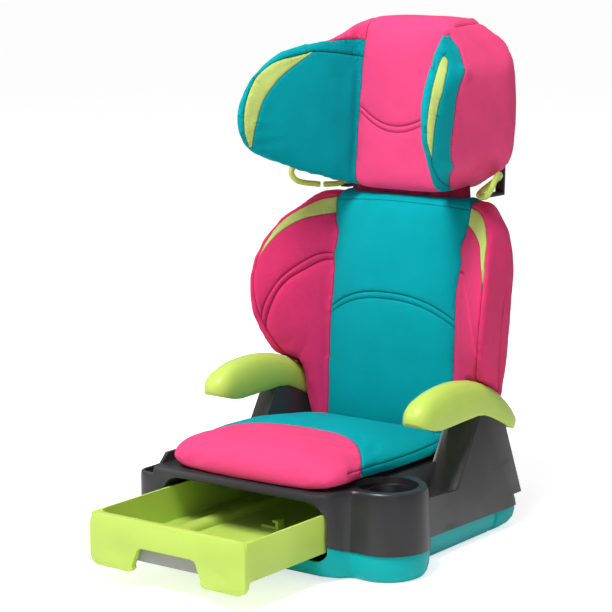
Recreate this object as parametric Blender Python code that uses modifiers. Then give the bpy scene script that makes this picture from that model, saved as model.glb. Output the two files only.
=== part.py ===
"""High-back booster seat with an under-seat drawer.  Units are metres, +Z is up.

The origin is the centre of the base on the floor.  The seat faces -Y, and the cup
holder is on the +X side.  The drawer is modelled pulled out and the headrest at its
lowest notch.
"""
import math

import bmesh
import bpy
from mathutils import Matrix, Vector

GAP = 0.0003
WALL = 0.0035
COVER_THICK = 0.0015

# Base, seen in plan
HALF_WIDTH = 0.179
FRONT_Y = -0.198
REAR_Y = 0.200
CORNER = 0.026
CUP_X, CUP_Y = 0.156, -0.102
CUP_RADIUS = 0.0565
CUP_RIM_RADIUS = 0.0525
WELL_X = 0.1640
BLEND_START_X = 0.112
BLEND_PULL = 0.022
BLEND_ANGLE = math.radians(262)

# Base, heights
DECK_Z = 0.114
SIDE_WALL_Z = 0.0860
TROUGH_FLOOR_Z = 0.0535
INTERIOR_TOP_Z = 0.050
UNDERSIDE_ROUND = 0.022
REAR_SLOPE_START, REAR_SLOPE = 0.028, 0.40
SEAM_GAP = 0.0006
GROOVE_Y = 0.130
SEAM_RISE_START = -0.150

# Screw bosses, which join the two shells
BOSSES = [(0.146, -0.020), (0.146, 0.150), (-0.146, -0.135), (-0.146, 0.150)]
BOSS_TOP = 0.030
LOWER_INSET = 0.0022

# Drawer bay and drawer
BAY_LEFT, BAY_RIGHT = -0.127, 0.125
BAY_BOTTOM, BAY_TOP = 0.029, 0.103
BAY_REAR_Y = 0.145
DRAWER_FRONT_Y = -0.347
DRAWER_REAR_Y = -0.007
DRAWER_HALF = 0.1215
DRAWER_BOTTOM, DRAWER_TOP = 0.0225, 0.089
TRAY_BOTTOM = 0.0395
RUNNER_BOTTOM, RUNNER_TOP = 0.0330, 0.0388
RUNNER_FRONT_Y, RUNNER_REAR_Y = -0.150, 0.135
PANEL_THICK = 0.009
TRAY_WALL = 0.0032
NOTCH_TOP = 0.055

# Pillars and armrest caps; each face's front edge is given at its foot and at its top
PILLAR_INNER_X = 0.140
PILLAR_INNER_FRONT = (-0.0125, 0.0635)
PILLAR_OUTER_FRONT = (0.0075, 0.0835)
ARM_X = 0.161
ARM_HALF_WIDTH = 0.0205
ARM_TOP = [(-0.058, 0.192), (-0.045, 0.206), (-0.015, 0.2175), (0.040, 0.2215),
           (0.095, 0.2125), (0.145, 0.1895), (0.178, 0.160), (0.188, 0.146)]
ARM_LOW = [(-0.058, 0.183), (-0.045, 0.176), (-0.015, 0.1695), (0.040, 0.171),
           (0.088, 0.171), (0.128, 0.156), (0.165, 0.139), (0.182, 0.1375)]

# Hinge of the back, and the lean of the back and headrest
BAR_Y, BAR_Z = 0.1575, 0.098
BAR_RADIUS = 0.0045
HOOK_X = 0.072
HOOK_WIDTH = 0.018
LEAN = math.atan(0.05)
SHELL_REAR_Y, SHELL_REAR_Z = 0.1805, 0.120
SHELL_THICK = 0.004
PAD_GAP = 0.0008
# How far the shells lie inside the pads that wrap round their sides
WRAP = 0.0060
CENTRE_HALF = 0.1045

# Back wings: height, half width at the side, rim x, rim y
BACK_WING = [(0.125, 0.1340, 0.1330, 0.1300), (0.155, 0.1420, 0.1400, 0.1280),
             (0.185, 0.1580, 0.1580, 0.1180), (0.213, 0.1680, 0.1710, 0.0990),
             (0.260, 0.1740, 0.1850, 0.0770), (0.310, 0.1770, 0.1890, 0.0700),
             (0.350, 0.1780, 0.1870, 0.0790), (0.385, 0.1710, 0.1780, 0.0980),
             (0.410, 0.1570, 0.1650, 0.1220), (0.428, 0.1400, 0.1470, 0.1500),
             (0.4385, 0.1220, 0.1260, 0.1680)]
# Height, depth position of the seam and of the crowned centre of the back pad
BACK_FACE = [(0.120, 0.1330, 0.1265), (0.228, 0.1350, 0.1250), (0.310, 0.1420, 0.1255),
             (0.380, 0.1540, 0.1320), (0.427, 0.1640, 0.1400), (0.440, 0.1680, 0.1460)]

# Headrest
HEAD_BOTTOM, HEAD_TOP = 0.449, 0.683
HEAD_CENTRE_HALF = 0.070
HEAD_SIDE_X = 0.1495
HEAD_REAR_Y, HEAD_REAR_Z = 0.2245, 0.460
HEAD_SIDE_RISE = 0.60
HEAD_SHELL_TOP = 0.667
STEM_CLEAR_Z = 0.592
# Half width, highest z
HEAD_CROWN = [(0.050, 0.682), (0.080, 0.677), (0.110, 0.662), (0.130, 0.640),
              (0.145, 0.615), (0.152, 0.600)]
# Share of the height, rim y, seam y, half width at the side
HEAD_WING = [(0.00, 0.045, 0.148, 0.142), (0.08, 0.016, 0.149, 0.147),
             (0.35, -0.003, 0.155, 0.1495), (0.65, -0.003, 0.163, 0.1495),
             (0.88, 0.016, 0.171, 0.147), (1.00, 0.060, 0.178, 0.140)]
# Height, front y of the crowned centre
HEAD_FACE = [(0.449, 0.156), (0.462, 0.148), (0.500, 0.149), (0.560, 0.153),
             (0.620, 0.158), (0.660, 0.166), (0.676, 0.178), (0.683, 0.190)]

# Parts that slide or turn in the leaning frame, whose y = 0 is the shell's rear face
SCREW_WAY_RADIUS = 0.0022
BACK_SCREW_Z = 0.030
HEAD_SCREW_X, HEAD_SCREW_Z = 0.028, 0.430
STEM_HALF = 0.055
STEM_BOTTOM, STEM_TOP = 0.140, 0.470
STEM_FRONT, STEM_THICK = 0.0012, 0.007
FORK_HALF = 0.013
FORK_TOP = 0.305
LEVER_Y, LEVER_Z = 0.0165, 0.300
LEVER_PIN_RADIUS = 0.0025
LEVER_HALF = 0.0115
SPRING_Z = LEVER_Z + 0.023

MODEL_NAME = "booster_seat"


def srgb(red, green, blue):
    """Linear colour from 0-255 values."""
    def linear(value):
        share = value / 255
        return share / 12.92 if share <= 0.04045 else ((share + 0.055) / 1.055) ** 2.4
    return (linear(red), linear(green), linear(blue), 1.0)


PALETTE = {
    "dark_plastic": (srgb(66, 66, 68), 0.42, 0.0),
    "teal_plastic": (srgb(0, 166, 166), 0.35, 0.0),
    "lime_plastic": (srgb(184, 216, 82), 0.35, 0.0),
    "grey_plastic": (srgb(150, 150, 146), 0.45, 0.0),
    "black_plastic": (srgb(40, 36, 36), 0.45, 0.0),
    "pink_fabric": (srgb(226, 60, 116), 0.85, 0.0),
    "teal_fabric": (srgb(0, 158, 168), 0.85, 0.0),
    "foam": (srgb(225, 222, 212), 0.9, 0.0),
    "steel": (srgb(190, 190, 192), 0.3, 1.0),
}


def clear_scene():
    """Remove every object that the file opened with."""
    for item in list(bpy.data.objects):
        bpy.data.objects.remove(item, do_unlink=True)


def new_collection(name):
    """A collection linked to the scene."""
    collection = bpy.data.collections.new(name)
    bpy.context.scene.collection.children.link(collection)
    return collection


clear_scene()
PARTS = new_collection(MODEL_NAME)
CUTTERS = new_collection("cutters")


def make_material(node, slot):
    """A Principled material of its own for one piece."""
    colour, roughness, metallic = PALETTE[slot]
    material = bpy.data.materials.new(node + "_" + slot)
    material.use_nodes = True
    shader = material.node_tree.nodes["Principled BSDF"]
    shader.inputs["Base Color"].default_value = colour
    shader.inputs["Roughness"].default_value = roughness
    shader.inputs["Metallic"].default_value = metallic
    material.diffuse_color = colour
    return material


def add_object(name, mesh, slot=None):
    """Link a mesh as a part, or as a cutter where it has no material slot."""
    piece = bpy.data.objects.new(name, mesh)
    if slot is None:
        CUTTERS.objects.link(piece)
        piece.hide_render = True
        piece.display_type = "WIRE"
    else:
        PARTS.objects.link(piece)
        mesh.materials.append(make_material(name, slot))
    return piece


def from_bmesh(name, bm, slot):
    """Turn a bmesh into a linked object."""
    bmesh.ops.recalc_face_normals(bm, faces=bm.faces)
    mesh = bpy.data.meshes.new(name)
    bm.to_mesh(mesh)
    bm.free()
    return add_object(name, mesh, slot)


def loft(name, rings, slot=None, open_below=False):
    """Body through rings of equal length, with its ends filled unless it opens below."""
    bm = bmesh.new()
    loops = [[bm.verts.new(point) for point in ring] for ring in rings]
    count = len(rings[0])
    for lower, upper in zip(loops, loops[1:]):
        for i in range(count):
            j = (i + 1) % count
            bm.faces.new((lower[i], lower[j], upper[j], upper[i]))
    bm.faces.new(loops[-1])
    if not open_below:
        bm.faces.new(loops[0][::-1])
    return from_bmesh(name, bm, slot)


def box(name, low, high, slot=None):
    """Box between two corners."""
    bm = bmesh.new()
    bmesh.ops.create_cube(bm, size=1.0)
    size = Vector(high) - Vector(low)
    centre = (Vector(high) + Vector(low)) / 2
    bmesh.ops.scale(bm, vec=size, verts=bm.verts)
    bmesh.ops.translate(bm, vec=centre, verts=bm.verts)
    return from_bmesh(name, bm, slot)


def cylinder(name, radius, start, end, slot=None, sides=24, stretch=1.0):
    """Cylinder from start to end; stretch widens it along Y."""
    start, end = Vector(start), Vector(end)
    bm = bmesh.new()
    bmesh.ops.create_cone(bm, cap_ends=True, segments=sides, radius1=radius,
                          radius2=radius, depth=(end - start).length)
    bmesh.ops.scale(bm, vec=(1.0, stretch, 1.0), verts=bm.verts)
    turn = Vector((0, 0, 1)).rotation_difference(end - start).to_matrix()
    bmesh.ops.rotate(bm, matrix=turn, cent=(0, 0, 0), verts=bm.verts)
    bmesh.ops.translate(bm, vec=(start + end) / 2, verts=bm.verts)
    piece = from_bmesh(name, bm, slot)
    shade_round(piece)
    return piece


def curve_to_mesh(name, curve, matrix, slot):
    """Convert a curve to a welded mesh object."""
    holder = bpy.data.objects.new(name + "_curve", curve)
    bpy.context.scene.collection.objects.link(holder)
    holder.matrix_world = matrix
    bpy.context.view_layer.update()
    graph = bpy.context.evaluated_depsgraph_get()
    mesh = bpy.data.meshes.new_from_object(holder.evaluated_get(graph))
    bpy.data.objects.remove(holder, do_unlink=True)
    bm = bmesh.new()
    bm.from_mesh(mesh)
    bmesh.ops.remove_doubles(bm, verts=bm.verts, dist=0.00002)
    bm.to_mesh(mesh)
    bm.free()
    mesh.materials.clear()
    piece = add_object(name, mesh, slot)
    piece.matrix_world = matrix
    return piece


PLANES = {
    "XY": Matrix.Identity(4),
    "XZ": Matrix(((1, 0, 0, 0), (0, 0, -1, 0), (0, 1, 0, 0), (0, 0, 0, 1))),
    "YZ": Matrix(((0, 0, 1, 0), (1, 0, 0, 0), (0, 1, 0, 0), (0, 0, 0, 1))),
}
NORMALS = {"XY": Vector((0, 0, 1)), "XZ": Vector((0, -1, 0)), "YZ": Vector((1, 0, 0))}


def prism(name, outline, plane, low, high, slot=None):
    """Flat outline in a plane, filled and extruded from low to high across it."""
    curve = bpy.data.curves.new(name, "CURVE")
    curve.dimensions = "2D"
    curve.fill_mode = "BOTH"
    curve.extrude = (high - low) / 2
    spline = curve.splines.new("POLY")
    spline.points.add(len(outline) - 1)
    for point, (u, v) in zip(spline.points, outline):
        point.co = (u, v, 0.0, 1.0)
    spline.use_cyclic_u = True
    normal = NORMALS[plane]
    middle = (high + low) / 2
    sign = -1.0 if plane == "XZ" else 1.0
    matrix = Matrix.Translation(normal * middle * sign) @ PLANES[plane]
    return curve_to_mesh(name, curve, matrix, slot)


def tube(name, points, radius, slot=None, smooth_path=True):
    """Round bar along a path, with filled ends."""
    curve = bpy.data.curves.new(name, "CURVE")
    curve.dimensions = "3D"
    curve.bevel_depth = radius
    curve.bevel_resolution = 2
    curve.use_fill_caps = True
    path = spline_points(points, 4) if smooth_path else points
    spline = curve.splines.new("POLY")
    spline.points.add(len(path) - 1)
    for point, place in zip(spline.points, path):
        point.co = (*place, 1.0)
    piece = curve_to_mesh(name, curve, Matrix.Identity(4), slot)
    shade_round(piece)
    return piece


def spline_points(points, steps):
    """Smooth path through points, with a few steps between each two."""
    rows = [(i, *point) for i, point in enumerate(points)]
    count = (len(points) - 1) * steps
    return [smooth(rows, i / steps) for i in range(count + 1)]


def smooth(rows, at):
    """Values at one position on a smooth curve through (position, value, ...) rows."""
    keys = [row[0] for row in rows]
    at = min(max(at, keys[0]), keys[-1])
    last = len(rows) - 1
    i = max(n for n in range(last) if keys[n] <= at)

    def slope(n, column):
        before, after = max(n - 1, 0), min(n + 1, last)
        rise = rows[after][column] - rows[before][column]
        return rise / (keys[after] - keys[before])

    span = keys[i + 1] - keys[i]
    t = (at - keys[i]) / span
    values = []
    for column in range(1, len(rows[0])):
        a, b = rows[i][column], rows[i + 1][column]
        m, n = slope(i, column) * span, slope(i + 1, column) * span
        values.append((2 * t**3 - 3 * t**2 + 1) * a + (t**3 - 2 * t**2 + t) * m
                      + (3 * t**2 - 2 * t**3) * b + (t**3 - t**2) * n)
    return tuple(values)


def shade_round(piece, angle=40):
    """Smooth shading, with creases kept."""
    piece.data.shade_smooth()
    piece.data.set_sharp_from_angle(angle=math.radians(angle))


def combine(target, tool, operation):
    """Boolean of a part with a tool."""
    step = target.modifiers.new(tool.name, "BOOLEAN")
    step.operation = operation
    step.solver = "EXACT"
    step.object = tool


def cut(target, *tools):
    """Cut each tool out of a part."""
    for tool in tools:
        combine(target, tool, "DIFFERENCE")


def join(target, *tools):
    """Join each tool to a part."""
    for tool in tools:
        combine(target, tool, "UNION")


def round_edges(piece, width, segments=2, angle=40):
    """Bevel the edges sharper than an angle."""
    step = piece.modifiers.new("edges", "BEVEL")
    step.width = width
    step.segments = segments
    step.limit_method = "ANGLE"
    step.angle_limit = math.radians(angle)


def arc(centre, radius, start, end, count):
    """Points on an arc, both ends included."""
    points = []
    for i in range(count):
        angle = start + (end - start) * i / (count - 1)
        points.append((centre[0] + radius * math.cos(angle),
                       centre[1] + radius * math.sin(angle)))
    return points


def bezier(a, b, c, d, count):
    """Points on a cubic curve from a to d, both ends included."""
    points = []
    for i in range(count):
        t = i / (count - 1)
        s = 1 - t
        points.append(tuple(s**3 * a[k] + 3 * s * s * t * b[k] + 3 * s * t * t * c[k]
                            + t**3 * d[k] for k in range(2)))
    return points


def heights(low, high, count):
    """Evenly spaced values, both ends included."""
    return [low + (high - low) * i / (count - 1) for i in range(count)]


def rounded_rectangle(left, bottom, right, top, low_radius, high_radius, count=5):
    """Rectangle outline with its own corner radius below and above."""
    half_turn = math.pi / 2
    corners = [((right - low_radius, bottom + low_radius), low_radius, -half_turn),
               ((right - high_radius, top - high_radius), high_radius, 0.0),
               ((left + high_radius, top - high_radius), high_radius, half_turn),
               ((left + low_radius, bottom + low_radius), low_radius, 2 * half_turn)]
    points = []
    for centre, radius, start in corners:
        points += arc(centre, radius, start, start + half_turn, count)
    return points


def base_outline(front, side, rear, cup_radius, groove=0.0):
    """Plan of the base, counter-clockwise, each face moved in by its own amount."""
    half = HALF_WIDTH - side
    low, high = FRONT_Y + front, REAR_Y - rear
    quarter = math.pi / 2
    direction = (-math.sin(BLEND_ANGLE), math.cos(BLEND_ANGLE))
    end = (CUP_X + cup_radius * math.cos(BLEND_ANGLE),
           CUP_Y + cup_radius * math.sin(BLEND_ANGLE))
    start = (BLEND_START_X, low)
    pulled = (end[0] - BLEND_PULL * direction[0], end[1] - BLEND_PULL * direction[1])
    meet = 2 * math.pi + math.acos((half - CUP_X) / cup_radius)
    side_points = []
    if groove > 0.0:
        side_points = [(half, GROOVE_Y - 0.004), (half - groove, GROOVE_Y),
                       (half, GROOVE_Y + 0.004)]
    points = arc((-half + CORNER, low + CORNER), CORNER, 2 * quarter, 3 * quarter, 6)
    points += bezier(start, (start[0] + BLEND_PULL, low), pulled, end, 7)
    points += arc((CUP_X, CUP_Y), cup_radius, BLEND_ANGLE, meet, 15)[1:]
    points += side_points
    points += arc((half - CORNER, high - CORNER), CORNER, 0, quarter, 6)
    points += arc((-half + CORNER, high - CORNER), CORNER, quarter, 2 * quarter, 6)
    points += [(-x, y) for x, y in reversed(side_points)]
    return points


def seam_height(y):
    """Height of the line where the two shells meet; it rises at the front."""
    rise = max(0.0, (SEAM_RISE_START - y) / (SEAM_RISE_START - FRONT_Y))
    return 0.0334 - 0.0214 * (y + 0.05) + 0.0155 * rise**1.5


def seam_cutter(name, gap, far):
    """Everything between the seam of the two shells, plus a gap, and a far height."""
    sides = [FRONT_Y - 0.02, *heights(FRONT_Y, SEAM_RISE_START, 7), REAR_Y + 0.02]
    outline = [(y, seam_height(y) + gap) for y in sides]
    return prism(name, outline + [(sides[-1], far), (sides[0], far)], "YZ", -0.250, 0.250)


def at_height(outline, z):
    """Lift a plan to one height, or to a height that depends on y."""
    if callable(z):
        return [(x, y, z(y)) for x, y in outline]
    return [(x, y, z) for x, y in outline]


# ---------------------------------------------------------------- base, lower shell

def underside_rings(wall, lift, steps=4):
    """Rings of the rounded underside, moved in by a wall and lifted by a floor."""
    rings = []
    for i in range(steps + 1):
        turn = math.pi / 2 * i / steps
        tuck = 1 - math.sin(turn)
        inset = LOWER_INSET + wall
        outline = base_outline(0.050 * tuck + inset, 0.019 * tuck + inset,
                               0.028 * tuck + inset,
                               CUP_RADIUS - 0.010 * tuck - inset, 0.005)
        rings.append(at_height(outline, lift + UNDERSIDE_ROUND * (1 - math.cos(turn))))
    return rings


def lower_shell():
    """Teal tray with a rounded underside, bosses and rails' ribs."""
    shells = []
    for name, wall, top in (("lower_shell", 0.0, 0.056), ("lower_hollow", WALL, 0.080)):
        rings = underside_rings(wall, wall)
        rings.append([(x, y, top) for x, y, _ in rings[-1]])
        shells.append(loft(name, rings, None if wall else "teal_plastic"))
    shell, hollow = shells
    cut(shell, seam_cutter("above_seam", 0.0, 0.100), hollow, bay_cutter("lower_bay"))
    for i, (x, y) in enumerate(BOSSES):
        tag = str(i + 1)
        join(shell, cylinder("lower_boss_" + tag, 0.0060, (x, y, 0.002), (x, y, BOSS_TOP),
                             sides=14))
        cut(shell, cylinder("counterbore_" + tag, 0.0048, (x, y, -0.002), (x, y, 0.006),
                            sides=14),
            cylinder("screw_way_" + tag, 0.0023, (x, y, 0.004), (x, y, 0.035), sides=10))
    for side in (-1, 1):
        name = "rail_rib_" + ("left" if side < 0 else "right")
        low, high = sorted((side * 0.116, side * 0.1195))
        join(shell, box(name, (low, -0.120, 0.002), (high, 0.135, RUNNER_BOTTOM - GAP)))
    return shell


def bay_cutter(name):
    """The space that the drawer slides in, open at the front."""
    outline = rounded_rectangle(BAY_LEFT, BAY_BOTTOM, BAY_RIGHT, BAY_TOP, 0.010, 0.0225)
    return prism(name, outline, "XZ", FRONT_Y - 0.02, BAY_REAR_Y)


# ---------------------------------------------------------------- base, upper shell

def pillar_outline(front_low, front_high, inset=0.0, floor=0.046):
    """Side outline of a pillar; its top follows the underside of the armrest cap."""
    rear_high, rear_low = 0.1480 - inset, 0.1926 - inset
    steps = 4
    points = [(front_low + 1.2 * inset, floor)]
    for i in range(steps + 1):
        y = front_high + inset + (rear_high - front_high - inset) * i / steps
        points.append((y, smooth(ARM_LOW, y)[0] - 0.0009 - 1.1 * inset))
    points.append((rear_low, floor))
    return points


def pillar(name, side, inset=0.0, floor=0.046):
    """Slanted prism between the inner and the outer face of a pillar."""
    inner = pillar_outline(*PILLAR_INNER_FRONT, inset, floor)
    outer = pillar_outline(*PILLAR_OUTER_FRONT, inset, floor)
    inner_x = side * (PILLAR_INNER_X + inset)
    outer_x = side * (HALF_WIDTH - inset)
    return loft(name, [[(inner_x, y, z) for y, z in inner],
                       [(outer_x, y, z) for y, z in outer]])


def side_wall_height(y):
    """Top edge of the outer side wall behind the cup holder."""
    return SIDE_WALL_Z - 0.06 * (y + 0.03)


def trough(name, inner, outer, bottom):
    """Belt path on the cup holder's side, which curves round the cup."""
    clear = CUP_RIM_RADIUS + 0.0015
    first = math.acos((inner - CUP_X) / clear)
    last = math.acos(min(1.0, (outer - CUP_X) / clear))
    outline = arc((CUP_X, CUP_Y), clear, first, last, 9)
    outline += [(outer, 0.060), (inner, 0.060)]
    return loft(name, [at_height(outline, bottom), at_height(outline, 0.150)])


def left_trough():
    """Belt path and pocket on the side with no cup holder."""
    outline = rounded_rectangle(-0.1755, -0.186, -0.1445, 0.060, 0.012, 0.003)
    return prism("left_trough", outline, "XY", TROUGH_FLOOR_Z, 0.150)


def left_wall_trim():
    """Lowers the left side wall from the front pocket to the pillar."""
    outline = [(-0.215, 0.1005), (-0.150, 0.1005), (-0.135, 0.0985), (-0.040, 0.0870),
               (0.060, 0.0805), (0.060, 0.150), (-0.215, 0.150)]
    return prism("left_wall_trim", outline, "YZ", -0.200, -0.1445)


def upper_shell():
    """Dark moulding with the deck, belt troughs, pillars and cup holder."""
    rings = []
    for inset, cup, z in ((0.0, CUP_RADIUS, REAR_SLOPE_START - 0.004),
                          (0.0, CUP_RIM_RADIUS + 0.001, 0.096),
                          (0.0010, CUP_RIM_RADIUS, 0.1065),
                          (0.0035, CUP_RIM_RADIUS - 0.001, 0.1120),
                          (0.0080, CUP_RIM_RADIUS - 0.003, DECK_Z)):
        rings.append(at_height(base_outline(inset, inset, rear_slope(z) + inset, cup), z))
    shell = loft("upper_shell", rings, "dark_plastic")
    cut(shell, seam_cutter("below_seam", SEAM_GAP, -0.010))
    wall = base_outline(WALL, WALL, WALL, CUP_RADIUS - WALL)
    narrow = base_outline(WALL, WALL, WALL + rear_slope(INTERIOR_TOP_Z), CUP_RADIUS - WALL)
    cut(shell, loft("interior", [at_height(wall, 0.0), at_height(wall, REAR_SLOPE_START),
                                 at_height(narrow, INTERIOR_TOP_Z)]))
    cut(shell, bay_cutter("upper_bay"))
    cut(shell, box("void_right", (0.1305, -0.030, 0.0), (0.1405, 0.135, 0.110)))
    cut(shell, box("void_left", (-0.1405, -0.180, 0.0), (-0.1305, 0.135, 0.110)))
    cut(shell, trough("right_trough", 0.1445, 0.1755, TROUGH_FLOOR_Z))
    cut(shell, trough("right_wall_trim", 0.1445, 0.2000, side_wall_height))
    cut(shell, left_trough(), left_wall_trim())
    for side, tag in ((-1, "left"), (1, "right")):
        join(shell, pillar("pillar_" + tag, side))
        cut(shell, pillar("pillar_hollow_" + tag, side, WALL, 0.040))
    join(shell, corner_wall())
    join(shell, cylinder("cup_floor", 0.0355, (WELL_X, CUP_Y, 0.0425),
                         (WELL_X, CUP_Y, 0.060), sides=40, stretch=1.11))
    cut(shell, cylinder("cup_well", 0.0322, (WELL_X, CUP_Y, 0.0455),
                        (WELL_X, CUP_Y, 0.130), sides=40, stretch=1.13))
    cut(shell, cylinder("cup_recess", 0.0390, (CUP_X, CUP_Y, 0.1055),
                        (CUP_X, CUP_Y, 0.130), sides=40))
    for i, (x, y) in enumerate(BOSSES):
        tag = str(i + 1)
        top = TROUGH_FLOOR_Z - 0.001 if y < 0.1 else 0.075
        join(shell, cylinder("upper_post_" + tag, 0.0055, (x, y, BOSS_TOP + GAP), (x, y, top),
                             sides=12))
        cut(shell, cylinder("post_bore_" + tag, 0.0022, (x, y, 0.028), (x, y, 0.044), sides=10))
    for side, tag in ((-1, "left"), (1, "right")):
        low, high = sorted((side * (HOOK_X - 0.013), side * (HOOK_X + 0.013)))
        cut(shell, box("hook_pocket_" + tag, (low, BAY_REAR_Y + 0.0015, 0.083),
                       (high, 0.215, 0.130)))
    cut(shell, cylinder("bar_bore", BAR_RADIUS + GAP, (-0.1105, BAR_Y, BAR_Z),
                        (0.1105, BAR_Y, BAR_Z)))
    return shell


def rear_slope(z):
    """How far the sloping rear wall has moved in at a height."""
    return max(0.0, (z - REAR_SLOPE_START) * REAR_SLOPE)


def corner_wall():
    """Raised corner beside the cushion, opposite the cup holder."""
    outline = [(-0.1945, 0.104), (-0.172, 0.1265), (-0.060, 0.1265), (-0.040, 0.112),
               (-0.040, 0.106), (-0.1945, 0.100)]
    return prism("corner_wall", outline, "YZ", -0.1444, -0.1400)


# ---------------------------------------------------------------- base, other pieces

def armrest_cap(side, tag):
    """Banana-shaped cap with a domed top and a flat underside."""
    rings = []
    steps = 17
    for i in range(steps + 1):
        t = (len(ARM_TOP) - 1) * i / steps
        top = smooth([(n, *p) for n, p in enumerate(ARM_TOP)], t)
        low = smooth([(n, *p) for n, p in enumerate(ARM_LOW)], t)
        share = i / steps
        blunt = min(1.0, math.sqrt(share * 5.5 + 0.10), math.sqrt((1 - share) * 5.5 + 0.16))
        rings.append(cap_section(side, top, low, ARM_HALF_WIDTH * blunt))
    cap = loft("armrest_cap_" + tag, rings, "lime_plastic")
    shade_round(cap, 60)
    return cap


def cap_section(side, top, low, half_width):
    """D-shaped section between a top point and a bottom point."""
    count = 11
    points = []
    for i in range(count):
        angle = math.pi * i / (count - 1)
        across = math.copysign(abs(math.cos(angle))**0.75, math.cos(angle))
        up = 0.14 + 0.86 * math.sin(angle)**0.8
        points.append((across, up))
    points += [(-0.94, 0.0), (-0.45, 0.0), (0.45, 0.0), (0.94, 0.0)]
    return [(side * ARM_X + half_width * u,
             low[0] + (top[0] - low[0]) * v,
             low[1] + (top[1] - low[1]) * v) for u, v in points]


CUSHION_PLAN = [(0.000, -0.1925), (0.060, -0.1915), (0.098, -0.1870), (0.118, -0.1740),
                (0.1270, -0.1540), (0.1320, -0.1200), (0.1370, -0.0700), (0.1385, -0.0200),
                (0.1375, 0.0300), (0.1365, 0.0800), (0.1350, 0.1130), (0.1260, 0.1240),
                (0.060, 0.1245), (0.000, 0.1245)]
# Height above the deck, how far the side has moved in
CUSHION_SIDE = [(0.0045, 0.009), (0.0075, 0.003), (0.0140, 0.0), (0.0220, 0.0015),
                (0.0290, 0.007), (0.0350, 0.018), (0.0395, 0.036), (0.0420, 0.065)]


def cushion_rings(inset, rows):
    """Rings of the seat cushion, moved in all round."""
    full = CUSHION_PLAN + [(-x, y) for x, y in reversed(CUSHION_PLAN[1:-1])]
    rings = []
    for rise, tuck in rows:
        move = tuck + inset
        ring = []
        for x, y in full:
            y_in = y + move * max(-1.0, min(1.0, -(y + 0.034) / 0.12))
            x_in = x - move * max(-1.0, min(1.0, x / 0.09))
            ring.append((x_in, y_in, DECK_Z + rise))
        rings.append(ring)
    return rings


def seat_cushion():
    """Foam pad inside a thin cover that is open underneath."""
    cover = loft("seat_cover", cushion_rings(0.0, CUSHION_SIDE), "pink_fabric", True)
    step = cover.modifiers.new("thickness", "SOLIDIFY")
    step.thickness = COVER_THICK
    step.offset = -1.0
    step.use_even_offset = True
    lowered = [(rise - (2 * COVER_THICK if rise > 0.02 else 0.0), tuck)
               for rise, tuck in CUSHION_SIDE]
    foam = loft("seat_foam", cushion_rings(2.5 * COVER_THICK, lowered), "foam")
    for piece in (cover, foam):
        shade_round(piece, 50)
    return [cover, foam]


def turned(name, profile, slot, matrix):
    """Solid of revolution about its own Z axis."""
    mesh = bpy.data.meshes.new(name)
    verts = [(radius, 0.0, z) for radius, z in profile]
    mesh.from_pydata(verts, [(i, i + 1) for i in range(len(verts) - 1)], [])
    piece = add_object(name, mesh, slot)
    step = piece.modifiers.new("turn", "SCREW")
    step.axis = "Z"
    step.steps = 12
    step.render_steps = 12
    step.use_merge_vertices = True
    step.merge_threshold = 0.00005
    piece.matrix_world = matrix
    return piece


def screw(name, head_radius, head_height, shank_radius, length, matrix):
    """Pan-head screw: the head's face is at z = 0 and the shank points along -Z."""
    profile = [(0.0, 0.0), (head_radius * 0.8, -0.0002), (head_radius, -0.001),
               (head_radius, -head_height), (shank_radius, -head_height),
               (shank_radius, -length + 0.002), (0.0, -length)]
    return turned(name, profile, "steel", matrix)


def runners():
    """Rails that the drawer slides on: a foot under the tray and a lip beside it."""
    outline = [(0.1100, RUNNER_BOTTOM), (0.1240, RUNNER_BOTTOM), (0.1240, 0.0600),
               (0.1225, 0.0600), (0.1225, RUNNER_TOP), (0.1100, RUNNER_TOP)]
    mirrored = [(-x, z) for x, z in reversed(outline)]
    return [prism("drawer_runner_left", mirrored, "XZ", RUNNER_FRONT_Y, RUNNER_REAR_Y,
                  "dark_plastic"),
            prism("drawer_runner_right", outline, "XZ", RUNNER_FRONT_Y, RUNNER_REAR_Y,
                  "dark_plastic")]


def build_base():
    """Everything that stands still."""
    pieces = [lower_shell(), upper_shell()]
    for side, tag in ((-1, "left"), (1, "right")):
        pieces.append(armrest_cap(side, tag))
    pieces += seat_cushion()
    pieces.append(cylinder("hinge_bar", BAR_RADIUS, (-0.110, BAR_Y, BAR_Z),
                           (0.110, BAR_Y, BAR_Z), "steel", sides=20))
    for i, (x, y) in enumerate(BOSSES):
        matrix = Matrix.Translation((x, y, 0.0028)) @ Matrix.Rotation(math.pi, 4, "X")
        pieces.append(screw("base_screw_" + str(i + 1), 0.0042, 0.0028, 0.0018, 0.039, matrix))
    pieces += runners()
    return pieces


# ---------------------------------------------------------------- drawer

def panel_outline():
    """Front panel with rounded corners and a hand notch in its lower edge."""
    quarter = math.pi / 2
    r, s = 0.014, 0.009
    low_x, high_x = 0.0515, 0.0385
    right = arc((low_x + s, DRAWER_BOTTOM + s), s, -quarter, -2 * quarter, 4)[::-1]
    points = [(low_x + s * 0.2, DRAWER_BOTTOM + s), *right[1:]]
    points += arc((DRAWER_HALF - r, DRAWER_BOTTOM + r), r, -quarter, 0.0, 5)
    points += arc((DRAWER_HALF - r, DRAWER_TOP - r), r, 0.0, quarter, 5)
    upper = arc((high_x, NOTCH_TOP - s), s, quarter, 0.0, 4)
    half = upper + points
    return half + [(-x, y) for x, y in reversed(half)]


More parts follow.
